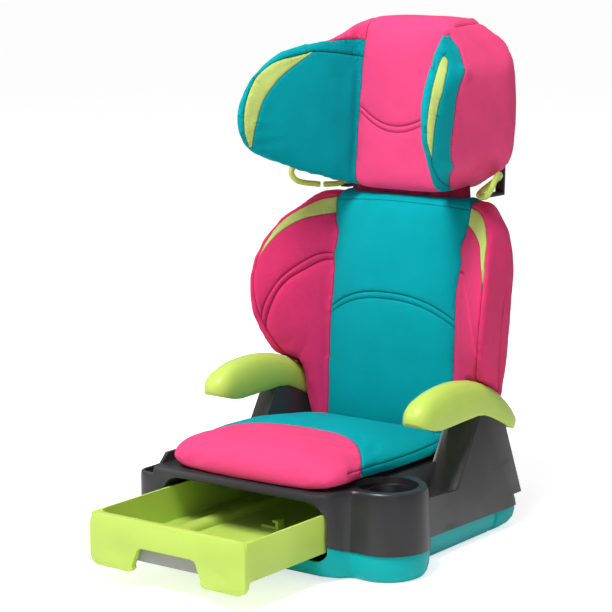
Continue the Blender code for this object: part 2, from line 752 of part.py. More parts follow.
def drawer_tray():
    """One moulding: front panel, tray, floor rib and small hook."""
    tray = box("drawer_tray", (-DRAWER_HALF, DRAWER_FRONT_Y + 0.004, TRAY_BOTTOM),
               (DRAWER_HALF, DRAWER_REAR_Y, DRAWER_TOP - 0.0008), "lime_plastic")
    inner = DRAWER_HALF - TRAY_WALL
    floor = TRAY_BOTTOM + TRAY_WALL
    start = DRAWER_FRONT_Y + PANEL_THICK + TRAY_WALL
    plan = rounded_rectangle(-inner, start, inner, DRAWER_REAR_Y - TRAY_WALL, 0.016, 0.012)
    cut(tray, notch_block(), prism("tray_hollow", plan, "XY", floor, 0.120))
    join(tray, panel_block())
    cut(tray, box("pull_pocket", (-0.0550, DRAWER_FRONT_Y + PANEL_THICK - 0.0001, 0.0350),
                  (0.0550, start + 0.001, 0.0610)))
    rib = rounded_rectangle(-0.079, floor - 0.001, -0.057, floor + 0.010, 0.001, 0.008)
    join(tray, prism("floor_rib", rib, "XZ", start - 0.001, DRAWER_REAR_Y - 0.002))
    join(tray, box("hook_post", (0.0185, -0.151, floor - 0.001), (0.0225, -0.137, floor + 0.013)))
    join(tray, box("hook_lip", (0.0140, -0.151, floor + 0.010), (0.0200, -0.137, floor + 0.013)))
    join(tray, box("hook_rib", (-0.008, -0.1455, floor - 0.001), (0.0200, -0.1425, floor + 0.003)))
    return tray


def notch_block():
    """Opens the lower front of the tray behind the notch."""
    return box("notch_block", (-0.0550, DRAWER_FRONT_Y - 0.002, 0.030),
               (0.0550, DRAWER_FRONT_Y + PANEL_THICK + 0.001, 0.0610))


def panel_block():
    """The front panel, with its edges rounded."""
    panel = prism("panel_block", panel_outline(), "XZ", DRAWER_FRONT_Y,
                  DRAWER_FRONT_Y + PANEL_THICK)
    round_edges(panel, 0.0025, 2, 60)
    return panel


def drawer_pull():
    """Grey plate that closes the tray behind the notch."""
    near = DRAWER_FRONT_Y + PANEL_THICK
    plate = box("drawer_pull", (-0.0545, near + GAP, 0.0355),
                (0.0545, near + TRAY_WALL - 0.0002, 0.0605), "grey_plastic")
    round_edges(plate, 0.0006, 1, 60)
    return plate


# ---------------------------------------------------------------- back

BACK_ROWS = heights(0.128, 0.4310, 12)
HEAD_ROWS = heights(0.07, 0.93, 9)


def shell_rear(z):
    """Depth of the inner face of the back shell at a height."""
    return SHELL_REAR_Y - SHELL_THICK + math.tan(LEAN) * (z - SHELL_REAR_Z)


def wing_profile(z, reach=0.0):
    """Inner face of the back shell from beside its centre to its rim, as x and y."""
    side, rim_x, rim_y = smooth(BACK_WING, z)
    side, rim_x = side - WRAP, rim_x - WRAP
    rear = shell_rear(z)
    width, depth = side - CENTRE_HALF, rear - rim_y
    return [(CENTRE_HALF, rear),
            (CENTRE_HALF + 0.50 * width, rear - 0.0010),
            (side - 0.12 * width, rear - 0.12 * depth),
            (side, rear - 0.38 * depth),
            (side + 0.55 * (rim_x - side), rim_y + 0.36 * depth),
            (rim_x - 0.002, rim_y + 0.18 * depth - reach)]


def open_shell(name, rows, slot=None, room=0.0):
    """Surface through rows of points, thickened away from the pads.

    Room is added on both faces where the shell serves as a cutter.
    """
    bm = bmesh.new()
    grid = [[bm.verts.new(point) for point in row] for row in rows]
    for low, high in zip(grid, grid[1:]):
        for i in range(len(low) - 1):
            bm.faces.new((low[i], low[i + 1], high[i + 1], high[i]))
    mesh = bpy.data.meshes.new(name)
    bm.to_mesh(mesh)
    bm.free()
    piece = add_object(name, mesh, slot)
    step = piece.modifiers.new("thickness", "SOLIDIFY")
    step.thickness = SHELL_THICK + 2 * room
    step.offset = 2 * room / step.thickness - 1.0
    step.use_even_offset = True
    shade_round(piece, 50)
    return piece


def back_shell():
    """Curved plastic shell with side wings."""
    rows = []
    for z in BACK_ROWS:
        right = wing_profile(z)
        centre = [(x, shell_rear(z)) for x in (-0.055, 0.0, 0.055)]
        left = [(-x, y) for x, y in reversed(right)]
        rows.append([(x, y, z) for x, y in left + centre + right])
    shell = open_shell("back_shell", rows, "black_plastic")
    for side, tag in ((-1, "left"), (1, "right")):
        cut(shell, armrest_clearance("shell_clearance_" + tag, side))
        cut(shell, screw_way("hook_way_" + tag, side * HOOK_X, BACK_SCREW_Z))
    return shell


def screw_way(name, x, z):
    """Hole through the back shell, in the leaning frame."""
    hole = cylinder(name, SCREW_WAY_RADIUS, (x, -0.008, z), (x, 0.004, z), sides=16)
    hole.matrix_world = lean_matrix()
    return hole


def armrest_clearance(name, side):
    """Space that the pillar and armrest cap need, with room for the back to tilt."""
    room = 0.005
    top = [(y, z + room) for y, z in ARM_TOP]
    outline = [(-0.070, 0.100), (0.230, 0.100), (0.230, 0.120)]
    outline += [(top[-1][0] + 0.012, top[-1][1] - 0.010)]
    outline += list(reversed(top))
    outline += [(-0.070, 0.190)]
    low, high = sorted((side * 0.1365, side * 0.2150))
    return prism(name, outline, "YZ", low, high)


def wing_pad(side, tag):
    """Thick pad between the seam and the rim, which wraps round the shell's side."""
    rings = []
    for z in (BACK_ROWS[0] - 0.0045, *BACK_ROWS, BACK_ROWS[-1] + 0.0075):
        width, rim_x, rim_y = smooth(BACK_WING, z)
        rear = shell_rear(z)
        depth, wrap = rear - rim_y, 0.45 * (width - CENTRE_HALF)
        start = (CENTRE_HALF + 0.0005, smooth(BACK_FACE, z)[0] + 0.002)
        reach = (rim_x - 0.013, rim_y + 0.003)
        outline = [start]
        for share, bulge in ((0.3, 0.004), (0.65, 0.006)):
            outline.append((start[0] + (reach[0] - start[0]) * share,
                            start[1] + (reach[1] - start[1]) * share - bulge))
        outline += [reach, (rim_x - 0.006, rim_y), (rim_x, rim_y + 0.006),
                    (width + 0.5 * (rim_x - width) + 0.0015, rim_y + 0.32 * depth),
                    (width + 0.0030, rear - 0.40 * depth),
                    (width - 0.22 * wrap, rear - 0.10 * depth),
                    (width - 0.75 * wrap, rear + SHELL_THICK + 0.002),
                    (width - wrap, rear + SHELL_THICK + 0.0015),
                    (width - wrap - 0.001, rear - PAD_GAP),
                    (CENTRE_HALF + 0.0005, rear - PAD_GAP)]
        rings.append([(side * x, y, z) for x, y in outline])
    pad = loft("back_wing_pad_" + tag, rings, "pink_fabric")
    ends = (BACK_ROWS[0] - 0.0015, BACK_ROWS[-1] + 0.0020)
    cut(pad, armrest_clearance("pad_clearance_" + tag, side),
        wing_pocket("back_pocket_" + tag, side, ends))
    shade_round(pad, 50)
    return pad


def wing_pocket(name, side, ends):
    """Room in a back pad for one wing of the shell."""
    rows = []
    for z in (ends[0], *BACK_ROWS, ends[1]):
        profile = wing_profile(z, 0.0015)
        profile.insert(0, (CENTRE_HALF - 0.010, profile[0][1]))
        row = [(side * x, y, z) for x, y in profile]
        rows.append(row if side > 0 else row[::-1])
    return open_shell(name, rows, room=1.5 * PAD_GAP)


def back_centre_pad():
    """Crowned pad down the middle of the back."""
    rings = []
    for z, tuck in ((0.1225, 0.006), (0.1260, 0.0015), (0.160, 0.0), (0.200, 0.0),
                    (0.240, 0.0), (0.280, 0.0), (0.320, 0.0), (0.360, 0.0),
                    (0.395, 0.0), (0.420, 0.0008), (0.434, 0.004), (0.4400, 0.012)):
        seam_y, centre_y = smooth(BACK_FACE, z)
        ring = []
        for i in range(9):
            share = -1 + 2 * i / 8
            y = centre_y + (seam_y - centre_y) * share**2 + tuck
            ring.append((share * (CENTRE_HALF - 0.0005), y, z))
        rear = shell_rear(z) - 0.0006
        ring += [(CENTRE_HALF - 0.0005, rear, z), (0.0, rear, z), (-CENTRE_HALF + 0.0005, rear, z)]
        rings.append(ring)
    pad = loft("back_centre_pad", rings, "teal_fabric")
    shade_round(pad, 50)
    return pad


def lean_matrix():
    """Frame of the leaning back: y = 0 is the shell's rear face, z runs up it."""
    turn = Matrix.Rotation(-LEAN, 4, "X")
    return Matrix.Translation((0.0, SHELL_REAR_Y, SHELL_REAR_Z)) @ turn


def leaning(piece):
    """Place a piece that was modelled upright in the leaning frame."""
    piece.matrix_world = lean_matrix() @ piece.matrix_world
    return piece


def leaning_tools(*tools):
    """Place cutters that were modelled upright in the leaning frame."""
    return [leaning(tool) for tool in tools]


def back_hook(side, tag):
    """Arm on the back shell that ends in a hook round the hinge bar."""
    centre = Vector((0.0, BAR_Y, BAR_Z))
    inner, outer = BAR_RADIUS + 0.0005, BAR_RADIUS + 0.0042
    opening, turn = math.radians(-60), math.radians(250)
    ring = arc((BAR_Y, BAR_Z), outer, opening, opening + turn, 15)
    ring += arc((BAR_Y, BAR_Z), inner, opening + turn, opening, 15)
    low, high = sorted((side * (HOOK_X - HOOK_WIDTH / 2), side * (HOOK_X + HOOK_WIDTH / 2)))
    hook = prism("back_hook_" + tag, ring, "YZ", low, high, "dark_plastic")
    arm = [(centre.y + 0.0030, centre.z + inner + 0.0012), (centre.y + 0.0085, centre.z + 0.001),
           (0.1925, 0.112), (0.1925, 0.165), (0.1865, 0.165), (0.1830, 0.122),
           (0.1780, 0.1165)]
    join(hook, prism("hook_arm_" + tag, arm, "YZ", low, high))
    cut(hook, *leaning_tools(
        box("arm_face_" + tag, (side * HOOK_X - 0.02, -0.02, 0.0), (side * HOOK_X + 0.02, 0.0006, 0.06)),
        cylinder("arm_way_" + tag, SCREW_WAY_RADIUS, (side * HOOK_X, -0.01, BACK_SCREW_Z),
                 (side * HOOK_X, 0.02, BACK_SCREW_Z), sides=16)))
    return hook


def stem_guide(side, tag):
    """Rail that holds one edge of the headrest stem against the back shell."""
    near, far = STEM_HALF + 0.0006, STEM_HALF + 0.0075
    depth = STEM_FRONT + STEM_THICK
    plan = [(near, 0.0005), (far, 0.0005), (far, depth + 0.004),
            (STEM_HALF - 0.007, depth + 0.004), (STEM_HALF - 0.007, depth + 0.0007),
            (near, depth + 0.0007)]
    if side < 0:
        plan = [(-x, y) for x, y in reversed(plan)]
    return leaning(prism("stem_guide_" + tag, plan, "XY", 0.150, 0.308, "dark_plastic"))


def height_rack():
    """Toothed strip whose notches the release lever's tooth faces."""
    notches, pitch, start = 6, 0.020, 0.179
    low, high = 0.0005, 0.0056
    outline = [(low, 0.165)]
    for i in range(notches):
        z = start + pitch * i
        outline += [(high, z - 0.0065), (high, z - 0.0040), (0.0030, z - 0.0030),
                    (0.0030, z + 0.0045), (high, z + 0.0055)]
    top = start + pitch * (notches - 1) + 0.0095
    outline += [(high, top - 0.002), (low, top)]
    return leaning(prism("height_rack", outline, "YZ", -0.010, 0.010, "dark_plastic"))


def build_back():
    """Shell, pads, hooks, guides and rack."""
    pieces = [back_shell(), back_centre_pad(), height_rack()]
    for side, tag in ((-1, "left"), (1, "right")):
        pieces += [wing_pad(side, tag), back_hook(side, tag), stem_guide(side, tag)]
        place = lean_matrix() @ Matrix.Translation((side * HOOK_X, 0.0137, BACK_SCREW_Z))
        place = place @ Matrix.Rotation(-math.pi / 2, 4, "X")
        pieces.append(screw("back_screw_" + tag, 0.004, 0.0024, 0.0018, 0.0165, place))
    return pieces


# ---------------------------------------------------------------- headrest

def head_low(x):
    """Lower edge of the headrest, which rises towards its sides."""
    return HEAD_BOTTOM + HEAD_SIDE_RISE * max(0.0, abs(x) - 0.068)


def head_high(x):
    """Upper edge of the headrest, which falls towards its sides."""
    return smooth(HEAD_CROWN, abs(x))[0]


def head_height(x, share):
    """Height at a share of the way from the lower to the upper edge."""
    low, high = head_low(x), head_high(x)
    return low + (high - low) * share


def head_rear(z):
    """Depth of the inner face of the head shell."""
    return HEAD_REAR_Y + math.tan(LEAN) * (z - HEAD_REAR_Z)


def head_profile(share, reach=0.0):
    """Inner face of the head shell from beside its centre to its rim."""
    rim_y, _, side = smooth(HEAD_WING, share)
    side -= 0.8 * WRAP
    rear = head_rear(head_height(0.1, share))
    front = rim_y + 0.024 - reach
    points = [(HEAD_CENTRE_HALF, rear), (0.105, rear - 0.001), (side - 0.012, rear - 0.014)]
    for part in (0.0, 0.35, 0.68, 1.0):
        points.append((side, rear - 0.042 + (front - rear + 0.042) * part))
    return points


def head_shell():
    """Plastic shell behind and beside the headrest pads."""
    rows = []
    for share in HEAD_ROWS:
        right = head_profile(share)
        centre = [(x, right[0][1]) for x in (-0.035, 0.0, 0.035)]
        left = [(-x, y) for x, y in reversed(right)]
        rows.append([(x, y, head_height(x, share)) for x, y in left + centre + right])
    shell = open_shell("head_shell", rows, "black_plastic")
    for side, tag in ((-1, "left"), (1, "right")):
        x = side * HEAD_SCREW_X
        way = cylinder("head_way_" + tag, SCREW_WAY_RADIUS, (x, 0.02, HEAD_SCREW_Z),
                       (x, 0.05, HEAD_SCREW_Z), sides=16)
        cut(shell, *leaning_tools(way))
    return shell


def head_centre_pad():
    """Crowned pad in the middle of the headrest, in front of the stem."""
    rings = []
    for z in (0.4492, 0.456, 0.470, 0.500, 0.535, 0.570, 0.5905, 0.5925, 0.625, 0.650,
              0.6662, 0.6676, 0.676, 0.682):
        front = smooth(HEAD_FACE, z)[0]
        share = (z - HEAD_BOTTOM) / (HEAD_TOP - HEAD_BOTTOM)
        seam = max(smooth(HEAD_WING, share)[1], front + 0.001)
        if z > HEAD_SHELL_TOP:
            rear = head_rear(z) + SHELL_THICK + 0.0015 - 0.6 * (z - HEAD_SHELL_TOP)
        elif z > STEM_CLEAR_Z:
            rear = head_rear(z) - PAD_GAP
        else:
            rear = SHELL_REAR_Y + math.tan(LEAN) * (z - SHELL_REAR_Z) - 0.0006
        half = HEAD_CENTRE_HALF - 0.0005 - 0.10 * max(0.0, z - 0.670)
        ring = []
        for i in range(9):
            part = -1 + 2 * i / 8
            ring.append((part * half, front + (seam - front) * part**2, z))
        ring += [(half, rear, z), (0.0, rear, z), (-half, rear, z)]
        rings.append(ring)
    pad = loft("head_centre_pad", rings, "pink_fabric")
    shade_round(pad, 50)
    return pad


def head_wing_pad(side, tag):
    """Deep pad that runs forward beside the head and wraps round the shell's side."""
    rings = []
    for share in (0.0, *HEAD_ROWS, 1.0):
        rim_y, seam_y, width = smooth(HEAD_WING, share)
        rear = head_rear(head_height(0.1, share))
        start = (HEAD_CENTRE_HALF + 0.0005, seam_y + 0.001)
        reach = (width - 0.014, rim_y + 0.007)
        outline = [start]
        for part, bulge in ((0.25, 0.004), (0.5, 0.006), (0.78, 0.005)):
            outline.append((start[0] + (reach[0] - start[0]) * part - 0.6 * bulge,
                            start[1] + (reach[1] - start[1]) * part - 0.5 * bulge))
        outline += [reach, (width - 0.005, rim_y), (width + 0.0035, rim_y + 0.009)]
        for part in (0.0, 0.33, 0.67, 1.0):
            outline.append((width + 0.0052, rim_y + 0.022 + (rear - rim_y - 0.062) * part))
        outline += [(width - 0.006, rear - 0.006), (width - 0.018, rear + SHELL_THICK + 0.0015),
                    (width - 0.029, rear + SHELL_THICK + 0.0020),
                    (width - 0.030, rear - PAD_GAP), (HEAD_CENTRE_HALF + 0.0005, rear - PAD_GAP)]
        rings.append([(side * x, y, head_height(x, share)) for x, y in outline])
    pad = loft("head_wing_pad_" + tag, rings, "teal_fabric")
    cut(pad, head_pocket("head_pocket_" + tag, side))
    shade_round(pad, 50)
    return pad


def head_pocket(name, side):
    """Room in a head pad for one wing of the shell."""
    rows = []
    for share in (HEAD_ROWS[0] - 0.008, *HEAD_ROWS, HEAD_ROWS[-1] + 0.008):
        profile = head_profile(share, 0.0015)
        profile.insert(0, (HEAD_CENTRE_HALF - 0.010, profile[0][1]))
        row = [(side * x, y, head_height(x, share)) for x, y in profile]
        rows.append(row if side > 0 else row[::-1])
    return open_shell(name, rows, room=1.5 * PAD_GAP)


GUIDE_PATH = [(0.1275, 0.1585, 0.4480), (0.1160, 0.1750, 0.4485), (0.1120, 0.1910, 0.4525),
              (0.1170, 0.2050, 0.4610), (0.1320, 0.2000, 0.4710), (0.1480, 0.1730, 0.4780),
              (0.1600, 0.1450, 0.4770), (0.1630, 0.1300, 0.4660), (0.1530, 0.1330, 0.4530),
              (0.1310, 0.1550, 0.4480)]


def belt_guide(side, tag):
    """Loop with a narrow gate that the shoulder belt threads through."""
    points = [(side * x, y, z) for x, y, z in GUIDE_PATH]
    return tube("belt_guide_" + tag, points, 0.0042, "lime_plastic")


def guide_bracket(side, tag):
    """Arm from the rear of the head shell to the belt guide."""
    outline = [(0.1880, 0.4425), (0.2360, 0.4425), (0.2385, 0.5200), (0.2345, 0.5200),
               (0.2325, 0.4470), (0.1880, 0.4470)]
    low, high = sorted((side * 0.1060, side * 0.1200))
    bracket = prism("guide_bracket_" + tag, outline, "YZ", low, high, "black_plastic")
    round_edges(bracket, 0.001, 1, 50)
    return bracket


def head_stem():
    """Forked plate that slides down the back shell, with a block at its top."""
    stem = box("head_stem", (-STEM_HALF, STEM_FRONT, STEM_BOTTOM),
               (STEM_HALF, STEM_FRONT + STEM_THICK, STEM_TOP - 0.06), "dark_plastic")
    block = box("stem_block", (-0.040, STEM_FRONT, 0.345), (0.040, 0.0262, STEM_TOP))
    fork = box("stem_fork", (-FORK_HALF, -0.01, 0.100), (FORK_HALF, 0.03, FORK_TOP - 0.014))
    join(stem, *leaning_tools(block))
    cut(stem, *leaning_tools(fork))
    for side, tag in ((-1, "left"), (1, "right")):
        low, high = sorted((side * 0.0140, side * 0.0180))
        ear = box("ear_" + tag, (low, 0.0060, LEVER_Z - 0.007), (high, 0.0210, LEVER_Z + 0.007))
        x = side * HEAD_SCREW_X
        way = cylinder("stem_way_" + tag, 0.0021, (x, 0.012, HEAD_SCREW_Z),
                       (x, 0.040, HEAD_SCREW_Z), sides=16)
        join(stem, *leaning_tools(ear))
        cut(stem, *leaning_tools(way))
    bore = cylinder("ear_bore", LEVER_PIN_RADIUS + GAP, (-0.025, LEVER_Y, LEVER_Z),
                    (0.025, LEVER_Y, LEVER_Z), sides=20)
    cut(stem, *leaning_tools(bore))
    return leaning(stem)


def build_head():
    """Shell, pads, stem, belt guides and fasteners."""
    pieces = [head_shell(), head_centre_pad(), head_stem()]
    for side, tag in ((-1, "left"), (1, "right")):
        pieces += [head_wing_pad(side, tag), belt_guide(side, tag), guide_bracket(side, tag)]
        place = lean_matrix() @ Matrix.Translation((side * HEAD_SCREW_X, 0.0352, HEAD_SCREW_Z))
        place = place @ Matrix.Rotation(-math.pi / 2, 4, "X")
        pieces.append(screw("head_screw_" + tag, 0.004, 0.0024, 0.0018, 0.020, place))
    pieces.append(leaning(cylinder("lever_pin", LEVER_PIN_RADIUS, (-0.0195, LEVER_Y, LEVER_Z),
                                   (0.0195, LEVER_Y, LEVER_Z), "steel", sides=20)))
    return pieces


# ---------------------------------------------------------------- release lever

def adjust_lever():
    """Handle, hub and arm whose tooth faces the height rack."""
    outline = [(0.0125, LEVER_Z - 0.004), (0.0125, 0.1850), (0.0068, 0.1840),
               (0.0068, 0.1750), (0.0165, 0.1750), (0.0185, LEVER_Z - 0.004),
               (0.0235, LEVER_Z + 0.012), (0.0235, LEVER_Z + 0.034),
               (0.0130, LEVER_Z + 0.034), (0.0115, LEVER_Z + 0.008)]
    lever = leaning(prism("adjust_lever", outline, "YZ", -LEVER_HALF, LEVER_HALF, "lime_plastic"))
    hub = cylinder("lever_hub", 0.0062, (-LEVER_HALF, LEVER_Y, LEVER_Z),
                   (LEVER_HALF, LEVER_Y, LEVER_Z))
    paddle = box("lever_paddle", (-0.024, 0.0130, LEVER_Z + 0.014), (0.024, 0.0235, LEVER_Z + 0.034))
    bore = cylinder("lever_bore", LEVER_PIN_RADIUS + GAP, (-0.03, LEVER_Y, LEVER_Z),
                    (0.03, LEVER_Y, LEVER_Z), sides=20)
    seat = cylinder("spring_seat", 0.0042, (0.0, 0.005, SPRING_Z), (0.0, 0.0195, SPRING_Z),
                    sides=20)
    join(lever, *leaning_tools(hub, paddle))
    cut(lever, *leaning_tools(bore, seat))
    return lever


def lever_spring():
    """Compression spring between the stem and the handle, clear of a pressed handle."""
    turns, per_turn, radius = 4, 10, 0.0030
    start, length = 0.0090, 0.0078
    points = []
    for i in range(turns * per_turn + 1):
        angle = 2 * math.pi * i / per_turn
        points.append((radius * math.cos(angle), start + length * i / (turns * per_turn),
                       SPRING_Z + radius * math.sin(angle)))
    return leaning(tube("lever_spring", points, 0.0004, "steel", smooth_path=False))


# ---------------------------------------------------------------- assembly

def joint_empty(name, matrix):
    """Empty on a joint's axis."""
    empty = bpy.data.objects.new(name, None)
    empty.empty_display_size = 0.03
    PARTS.objects.link(empty)
    empty.matrix_world = matrix
    return empty


def attach(pieces, empty):
    """Parent pieces to an empty without moving them."""
    bpy.context.view_layer.update()
    for piece in pieces:
        placed = piece.matrix_world.copy()
        piece.parent = empty
        piece.matrix_parent_inverse = empty.matrix_world.inverted()
        piece.matrix_world = placed


def build():
    """The whole seat."""
    base = build_base()
    drawer = [drawer_tray(), drawer_pull()]
    back = build_back()
    head = [*build_head(), lever_spring()]
    root = joint_empty("base_frame", Matrix.Identity(4))
    slide = joint_empty("drawer_slide", Matrix.Translation((0.0, DRAWER_FRONT_Y, TRAY_BOTTOM)))
    hinge = joint_empty("back_hinge", Matrix.Translation((0.0, BAR_Y, BAR_Z)))
    lift = joint_empty("headrest_slide", lean_matrix())
    pivot = joint_empty("lever_pivot",
                        lean_matrix() @ Matrix.Translation((0.0, LEVER_Y, LEVER_Z)))
    attach(base, root)
    attach(drawer + [hinge], root)
    attach(drawer, slide)
    attach([slide], root)
    attach(back + [lift], hinge)
    attach(head + [pivot], lift)
    attach([adjust_lever()], pivot)


build()
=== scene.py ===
"""The looks of the booster seat: stuffed covers filled by cloth simulation, their sewn seams,
and the finish of every surface."""

import math

import bmesh
import bpy
import numpy as np
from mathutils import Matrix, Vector, noise
from mathutils.bvhtree import BVHTree
from mathutils.kdtree import KDTree


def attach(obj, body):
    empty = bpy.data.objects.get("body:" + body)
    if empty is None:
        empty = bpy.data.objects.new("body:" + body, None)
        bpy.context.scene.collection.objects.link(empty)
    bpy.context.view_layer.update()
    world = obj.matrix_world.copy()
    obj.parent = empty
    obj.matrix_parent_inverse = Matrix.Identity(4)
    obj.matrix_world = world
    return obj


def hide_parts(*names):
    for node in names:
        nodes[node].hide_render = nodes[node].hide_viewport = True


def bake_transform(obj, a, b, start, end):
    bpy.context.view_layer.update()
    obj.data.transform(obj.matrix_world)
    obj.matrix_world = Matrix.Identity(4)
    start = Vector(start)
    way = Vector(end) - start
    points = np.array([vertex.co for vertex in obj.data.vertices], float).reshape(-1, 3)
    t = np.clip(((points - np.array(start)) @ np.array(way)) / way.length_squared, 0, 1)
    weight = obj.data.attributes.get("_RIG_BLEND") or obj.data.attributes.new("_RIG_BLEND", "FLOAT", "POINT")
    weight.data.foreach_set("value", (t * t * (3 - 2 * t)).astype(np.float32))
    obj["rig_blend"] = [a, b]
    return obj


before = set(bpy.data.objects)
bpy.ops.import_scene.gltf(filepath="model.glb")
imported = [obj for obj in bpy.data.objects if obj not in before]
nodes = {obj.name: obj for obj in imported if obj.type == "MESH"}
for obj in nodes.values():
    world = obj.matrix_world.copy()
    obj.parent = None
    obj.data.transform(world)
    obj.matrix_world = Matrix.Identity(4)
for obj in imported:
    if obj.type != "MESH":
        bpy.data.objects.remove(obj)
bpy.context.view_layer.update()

# ---------- sizes, in metres
CAMERA_PLACE = (1.556, -2.1984, 0.773)
CAMERA_AZIMUTH = 36.03
CAMERA_PITCH = 9.756
CAMERA_LENS = 122.27

# The moulded parts' edges are rounded where they are sharper than this
SHARP_ANGLE = math.radians(38)
EDGE_RADIUS = 0.0009
STEEL_EDGE_RADIUS = 0.0003

# The CAD pads that each cover stands for
SEAT_PADS = ["seat_foam", "seat_cover"]
BACK_PADS = ["back_centre_pad", "back_wing_pad_left", "back_wing_pad_right"]
HEAD_PADS = ["head_centre_pad", "head_wing_pad_left", "head_wing_pad_right"]

VOXEL = 0.005
WELD = 0.00001
CLOTH = {"quality": 5, "mass": 0.3, "tension_stiffness": 12, "compression_stiffness": 12,
         "shear_stiffness": 6, "bending_stiffness": 0.4, "use_pressure": True, "uniform_pressure_force": 4.0}
PUFF_FRAMES = 20
# The furthest that filling a cover moves a point of it, and the half width of what a seam holds
PUFF_CAP = 0.008
HOLD_WIDTH = 0.003
# How deep inside its shell a cover's points lie where the shell is bare
SHELL_TUCK = 0.0012
# Half width and top of each shell's bare rear face
BARE_REAR = {"back": (0.1, 0.426), "head": (0.104, 0.655)}

# Distance given where a seam doesn't run, and the greatest one told to the cloth's shader
FAR = 1.0
FAR_FROM_SEAM = 0.02
# A cover is cut on each seam and beside it
CUTS = (0.0, -0.0013, 0.0013, -0.0034, 0.0034)
# A corner this near to a cut, as a share of its edge, moves onto it
SNAP = 0.12
# Neighbours whose distances differ by more lie either side of a seam's end
SEAM_JUMP = 0.02
# The shallow dip around a groove: its depth as a share of the groove's, its width, and its limit
SHOULDER = 0.4
SHOULDER_WIDTH = 0.008
GROOVE_LIMIT = 0.06
# Gathers are full this near to a seam, and then fade
GATHER_FULL = 0.001
GATHER_FADE = 0.006
SEAM_STEP = 0.001

STITCH_LENGTH = 0.0026
STITCH_PITCH = 0.0042
STITCH_RADIUS = 0.00035
STITCH_SIDES = 5
SHORTEST_ROW = 0.02

# Lines are (distance from the middle plane, height), unless a comment says otherwise
BACK_PANEL_HALF = 0.1025
BACK_CENTRE = [(0.103, 0.11), (0.1025, 0.16), (0.102, 0.26), (0.1005, 0.318), (0.1035, 0.355),
               (0.102, 0.368), (0.1015, 0.381), (0.106, 0.4), (0.108, 0.424), (0.109, 0.45)]
BACK_RIM = [(0.142, 0.11), (0.15, 0.18), (0.1575, 0.2086), (0.17, 0.245), (0.177, 0.2714),
            (0.1835, 0.304), (0.1845, 0.333), (0.1815, 0.3595), (0.177, 0.3726), (0.168, 0.398),
            (0.15, 0.4165), (0.125, 0.4303), (0.095, 0.435)]
BACK_LIME = [(0.1855, 0.325), (0.1845, 0.333), (0.181, 0.35), (0.173, 0.3665), (0.16, 0.387),
             (0.142, 0.401), (0.124, 0.4065), (0.1, 0.4105)]
BACK_LIME_TIP = 0.333
BACK_ARC_UPPER = [(0.178, 0.25), (0.1712, 0.2791), (0.1653, 0.2963), (0.1553, 0.317), (0.143, 0.3332),
                  (0.1284, 0.3465), (0.1164, 0.3532), (0.098, 0.355)]
BACK_ARC_LOWER = [(0.172, 0.245), (0.1687, 0.2618), (0.1625, 0.283), (0.1535, 0.3057), (0.1421, 0.3221),
                  (0.1251, 0.3361), (0.1132, 0.3438), (0.098, 0.3458)]
BACK_SIDE_SEAM = [(0.17, 0.15), (0.1517, 0.194), (0.138, 0.23), (0.1302, 0.277), (0.1402, 0.328),
                  (0.15, 0.345)]
BACK_SIDE_TOP = 0.335
# A back wing turns from its rim to its outer face where y + slope * x passes this
BACK_TURN = 0.303
BACK_TURN_SLOPE = 1.03
BACK_TOP = 0.435
BACK_TOP_BOW = 0.6
# The teal panel's two arched seams
ARCH_TOP = 0.311
ARCH_DROP = 0.0247
ARCH_REACH = 0.0926
ARCH_POWER = 2.4
ARCH_SPACING = 0.0088

SEAT_FOOT = 0.1185
SEAT_EDGE = 0.1335
SEAT_SPLIT = -0.04
SEAT_SPLIT_BOW = 4.6
# The stuffing's thickness from front to back, as (depth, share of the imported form's)
SEAT_FILL = [(-0.13, 1.06), (-0.08, 1.05), (-0.02, 0.9), (0.02, 0.74), (0.05, 0.6), (0.09, 0.44),
             (0.125, 0.34)]

SKIRT_HALF = 0.098
SKIRT_FOOT = 0.418
SKIRT_TOP = 0.47
SKIRT_DEPTH = 0.168
SKIRT_THICK = 0.0012
# How its top narrows, how deep its folds are, how they turn, and how far its sides wrap back
SKIRT_TAPER = 0.04
SKIRT_FOLD = 0.0022
SKIRT_TURNS = 19
SKIRT_WRAP = 0.0165

HEAD_CENTRE_LEFT = [(0.067, 0.44), (0.0665, 0.56), (0.0665, 0.62), (0.066, 0.666), (0.066, 0.7)]
HEAD_CENTRE_RIGHT = [(0.067, 0.44), (0.0665, 0.56), (0.067, 0.63), (0.072, 0.655), (0.08, 0.668),
                     (0.084, 0.7)]
# The outer limit of a head wing's teal, as (depth, height)
HEAD_TEAL = [(0.165, 0.448), (0.0874, 0.4799), (0.052, 0.505), (0.0444, 0.5285), (0.0492, 0.5539),
             (0.0578, 0.584), (0.0737, 0.6056), (0.0961, 0.6254), (0.1092, 0.6393), (0.12, 0.6514),
             (0.124, 0.67)]
# Lines on a head wing's inner face, as (distance from the middle plane less depth, height)
HEAD_BAND = [(0.133, 0.506), (0.1425, 0.519), (0.147, 0.54), (0.145, 0.566), (0.133, 0.591),
             (0.115, 0.6105), (0.0915, 0.622), (0.0713, 0.6269), (0.0442, 0.6304), (0.0168, 0.6345),
             (0.0035, 0.6364), (-0.0365, 0.6342), (-0.0665, 0.631), (-0.0995, 0.6275), (-0.12, 0.6265)]
HEAD_LIME_INNER = [(0.13, 0.506), (0.1275, 0.524), (0.1205, 0.5465), (0.108, 0.5725), (0.088, 0.592),
                   (0.068, 0.606), (0.035, 0.622), (0.0035, 0.6364), (-0.02, 0.645)]
